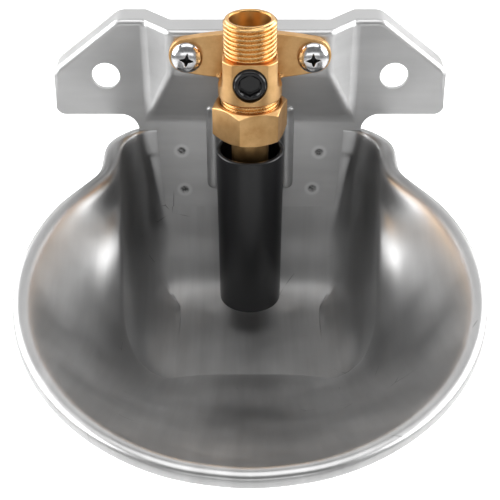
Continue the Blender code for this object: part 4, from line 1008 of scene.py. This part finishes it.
# The grip that holds the tube's lower end, on ribs inside the sleeve
GRIP_BORE = 0.0078
GRIP_RADIUS = 0.0096
GRIP_BELOW = 0.0018
GRIP_ABOVE = 0.028
GRIP_EDGE = 0.0004
GRIP_INNER_EDGE = 0.0003
GRIP_RIBS = 4
GRIP_RIB_LONG = 0.0041
GRIP_RIB_THICK = 0.0018
GRIP_RIB_MIDDLE = 0.01055
GRIP_RIB_INSET = 0.0018


def turned_wall(name, corners, arc_steps, steps):
    """A turned solid with a bore. Its outline starts and ends at the same point of a straight."""
    return turned(name, rounded(corners, arc_steps)[:-1], steps, True)


def add_turned_piece(name, mesh, slot, node):
    shade_edges(mesh, TUBE_CRISP)
    piece = add_piece(name, mesh, slot, "drink_tube", node)
    piece.modifiers.new("Even", "WEIGHTED_NORMAL").keep_sharp = True
    return piece


def add_tube():
    start = (0.5 * (TUBE_BORE + FLANGE_RADIUS), TUBE_HIGH.z, 0.0)
    tube = turned_wall("tube", [
        start, (FLANGE_RADIUS, TUBE_HIGH.z, TUBE_EDGE), (FLANGE_RADIUS, FLANGE_BOTTOM, TUBE_EDGE),
        (TUBE_RADIUS, FLANGE_BOTTOM, FLANGE_FILLET), (TUBE_RADIUS, TUBE_LOW.z, TUBE_EDGE),
        (TUBE_BORE, TUBE_LOW.z, TUBE_EDGE), (TUBE_BORE, TUBE_HIGH.z, TUBE_EDGE), start], 4, 128)
    piece = add_turned_piece("drink_pipe", on_axis(tube), "turned_brass", "flange_tube")
    # The pipe takes the darker brass: painted shade
    piece.data.materials[0] = PIPE_SHADE_BRASS


def add_sleeve():
    top, low = SLEEVE_HIGH.z, SLEEVE_LOW.z
    start = (SLEEVE_TOP_RADIUS - 0.5 * SLEEVE_WALL, top, 0.0)
    shell = turned_wall("sleeve", [
        start, (SLEEVE_TOP_RADIUS, top, SLEEVE_EDGE), (SLEEVE_LOW_RADIUS, low, SLEEVE_EDGE),
        (SLEEVE_LOW_RADIUS - SLEEVE_WALL, low, SLEEVE_FOOT_INNER_EDGE),
        (SLEEVE_TOP_RADIUS - SLEEVE_WALL, top, SLEEVE_MOUTH_INNER_EDGE), start], 8, 160)
    bottom, head = TUBE_LOW.z - GRIP_BELOW, TUBE_LOW.z + GRIP_ABOVE
    start = (0.5 * (GRIP_BORE + GRIP_RADIUS), head, 0.0)
    grip = turned_wall("grip", [
        start, (GRIP_RADIUS, head, GRIP_EDGE), (GRIP_RADIUS, bottom, GRIP_EDGE),
        (GRIP_BORE, bottom, GRIP_INNER_EDGE), (GRIP_BORE, head, GRIP_INNER_EDGE), start], 4, 96)
    cuts = [(grip, "UNION")]
    for k in range(GRIP_RIBS):
        size = (GRIP_RIB_LONG, GRIP_RIB_THICK, head - bottom - 2.0 * GRIP_RIB_INSET)
        rib = box_mesh("rib", size, (GRIP_RIB_MIDDLE, 0.0, 0.5 * (head + bottom)))
        rib.transform(Matrix.Rotation(2.0 * math.pi * (k + 0.5) / GRIP_RIBS, 4, "Z"))
        cuts.append((rib, "UNION"))
    add_turned_piece("push_sleeve", on_axis(carved(shell, *cuts)), "sleeve_plastic", "tube_sleeve")


# Return spring: a coil of wire. On the valve it shortens as the stem lifts.

SPRING_WIRE = 0.0007
SPRING_TURNS = 4
SPRING_STEPS = 32
WIRE_SIDES = 12


def add_spring():
    low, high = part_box("return_spring")
    wire = 0.5 * SPRING_WIRE
    radius = 0.5 * (high.x - low.x) - wire
    bottom, top = low.z + wire, high.z - wire
    count = SPRING_TURNS * SPRING_STEPS
    sections = []
    for i in range(count + 1):
        angle = 2.0 * math.pi * i / SPRING_STEPS
        out = Vector((math.cos(angle), math.sin(angle), 0.0))
        centre = Vector((0.0, AXIS_Y, bottom + (top - bottom) * i / count)) + out * radius
        turns = [2.0 * math.pi * k / WIRE_SIDES for k in range(WIRE_SIDES)]
        sections.append([
            centre + out * (wire * math.cos(a)) + Vector((0.0, 0.0, wire * math.sin(a))) for a in turns])
    mesh = stack("coil_spring", sections)
    mesh.shade_smooth()
    piece = add_piece("coil_spring", mesh, "spring_steel", ROOT, "return_spring")
    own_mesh(piece)


# Regulating screw. Heights run back from the front of its head.

KNOB_RADIUS = 0.0063
KNOB_EDGE = 0.0013
KNOB_LENGTH = 0.0034
KNOB_FOOT_EDGE = 0.0002
SEAL_GROOVE_RADIUS = 0.0054
SEAL_GROOVE_FRONT = 0.00145
SEAL_GROOVE_BACK = 0.0023
PIN_RADIUS = 0.0022
PIN_END = 0.0093
PIN_EDGE = 0.0003
SOCKET_FLATS = 0.0078
SOCKET_DEPTH = 0.0026
DISH_RADIUS = 0.0052
DISH_FLOOR_RADIUS = 0.0041
DISH_DEPTH = 0.0007
KNOB_GRID = 0.00014


def add_regulator():
    profile = rounded([
        (0.0, 0.0, 0.0), (KNOB_RADIUS, 0.0, KNOB_EDGE), (KNOB_RADIUS, -SEAL_GROOVE_FRONT, 0.0),
        (SEAL_GROOVE_RADIUS, -SEAL_GROOVE_FRONT, 0.0), (SEAL_GROOVE_RADIUS, -SEAL_GROOVE_BACK, 0.0),
        (KNOB_RADIUS, -SEAL_GROOVE_BACK, 0.0), (KNOB_RADIUS, -KNOB_LENGTH, KNOB_FOOT_EDGE),
        (PIN_RADIUS, -KNOB_LENGTH, 0.0), (PIN_RADIUS, -PIN_END, PIN_EDGE), (0.0, -PIN_END, 0.0)], 8)
    socket = prism("socket", 6, SOCKET_FLATS, -SOCKET_DEPTH, CUT_OVERRUN)
    over = 0.5 * CUT_OVERRUN
    dish = turned("dish", [
        (0.0, over), (DISH_RADIUS, over), (DISH_FLOOR_RADIUS, -DISH_DEPTH), (0.0, -DISH_DEPTH)], 96)
    mesh = carved(turned("regulator", profile, 128), (socket, "DIFFERENCE"), (dish, "DIFFERENCE"))
    mesh = placed(softened(mesh, KNOB_GRID, 3), 0.0, REGULATOR_LOW.y, REGULATOR_Z, FACING_FRONT)
    knob = joined("regulator_knob", mesh)
    add_piece("regulator_knob", knob, "screw_plastic", "regulator", "regulator_screw")


# Pan-head screws with a cross recess

HEAD_RADIUS = 0.0063
HEAD_HEIGHT = 0.0043
HEAD_EDGE = 0.0009
HEAD_FOOT = 0.0002
HEAD_CHAMFER = 0.0003
HEAD_STEPS = 24
HEAD_SEAT = 0.0003
HEAD_GRID = 0.00013
DOME_POWER = 2.3
DOME_ROOT = 0.55
# The recess as stars, one over the next: reach of the tips, of the notches, and height above the head's top
RECESS_STARS = ((0.0022, 0.0008, -0.0027), (0.0031, 0.0012, -0.0003), (0.0034, 0.0014, 0.001))
RECESS_REACH = 0.0034
RECESS_SHADE = 0.0004
RECESS_TURNS = {"left": math.radians(-8.0), "right": math.radians(3.0)}
SHANK_RADIUS = 0.003
SHANK_END = -0.016
SHANK_TOP = 0.0003
SHANK_THREAD = 0.0004
SHANK_PITCH = 0.001


def dome(share):
    """Height of the head at a share of its radius."""
    return HEAD_EDGE + (HEAD_HEIGHT - HEAD_EDGE) * max(1.0 - share ** DOME_POWER, 0.0) ** DOME_ROOT


def star(tip, notch, z, turn):
    reaches = [tip, notch] * 4
    angles = [turn + 0.25 * math.pi * k for k in range(8)]
    return [(reach * math.cos(a), reach * math.sin(a), z) for reach, a in zip(reaches, angles)]


def in_recess(point):
    reach = math.hypot(point.x, point.y)
    return reach < RECESS_REACH and HEAD_EDGE < point.z < dome(reach / HEAD_RADIUS) - RECESS_SHADE


def add_screw(side, label):
    shares = [math.sin(0.5 * math.pi * k / HEAD_STEPS) for k in range(HEAD_STEPS + 1)]
    profile = [(HEAD_RADIUS * share, dome(share)) for share in shares]
    profile += [(HEAD_RADIUS, HEAD_FOOT), (HEAD_RADIUS - HEAD_CHAMFER, 0.0), (0.0, 0.0)]
    recess = stack("recess", [
        star(tip, notch, HEAD_HEIGHT + above, RECESS_TURNS[label]) for tip, notch, above in RECESS_STARS])
    head = softened(carved(turned("head", profile, 96), (recess, "DIFFERENCE")), HEAD_GRID, 2)
    shank = threaded("shank", SHANK_RADIUS, SHANK_THREAD, SHANK_PITCH, SHANK_END, SHANK_TOP,
                     [(0.0, SHANK_END), (0.0, SHANK_TOP)], steps=48)
    mesh = joined("screw", head, shank)
    # The faces deep in the cross recess take the near-black material: painted shade
    recess_shade_faces = [in_recess(face.center) for face in mesh.polygons]
    placed(mesh, side * SCREW_X, WING_FRONT_Y - HEAD_SEAT, SCREW_Z, FACING_FRONT)
    piece = add_piece("pan_screw_" + label, mesh, "zinc", ROOT, "flange_screw_" + label)
    add_second_material(piece, RECESS_PAINTED_SHADE, recess_shade_faces)


dress_nodes()
add_bowl()
add_back_plate()
add_valve()
add_nut()
add_tube()
add_sleeve()
add_spring()
add_regulator()
add_screw(-1.0, "left")
add_screw(1.0, "right")

add_camera()
add_floor()
add_world()
add_lamps()
bpy.context.scene.view_settings.view_transform = "Standard"
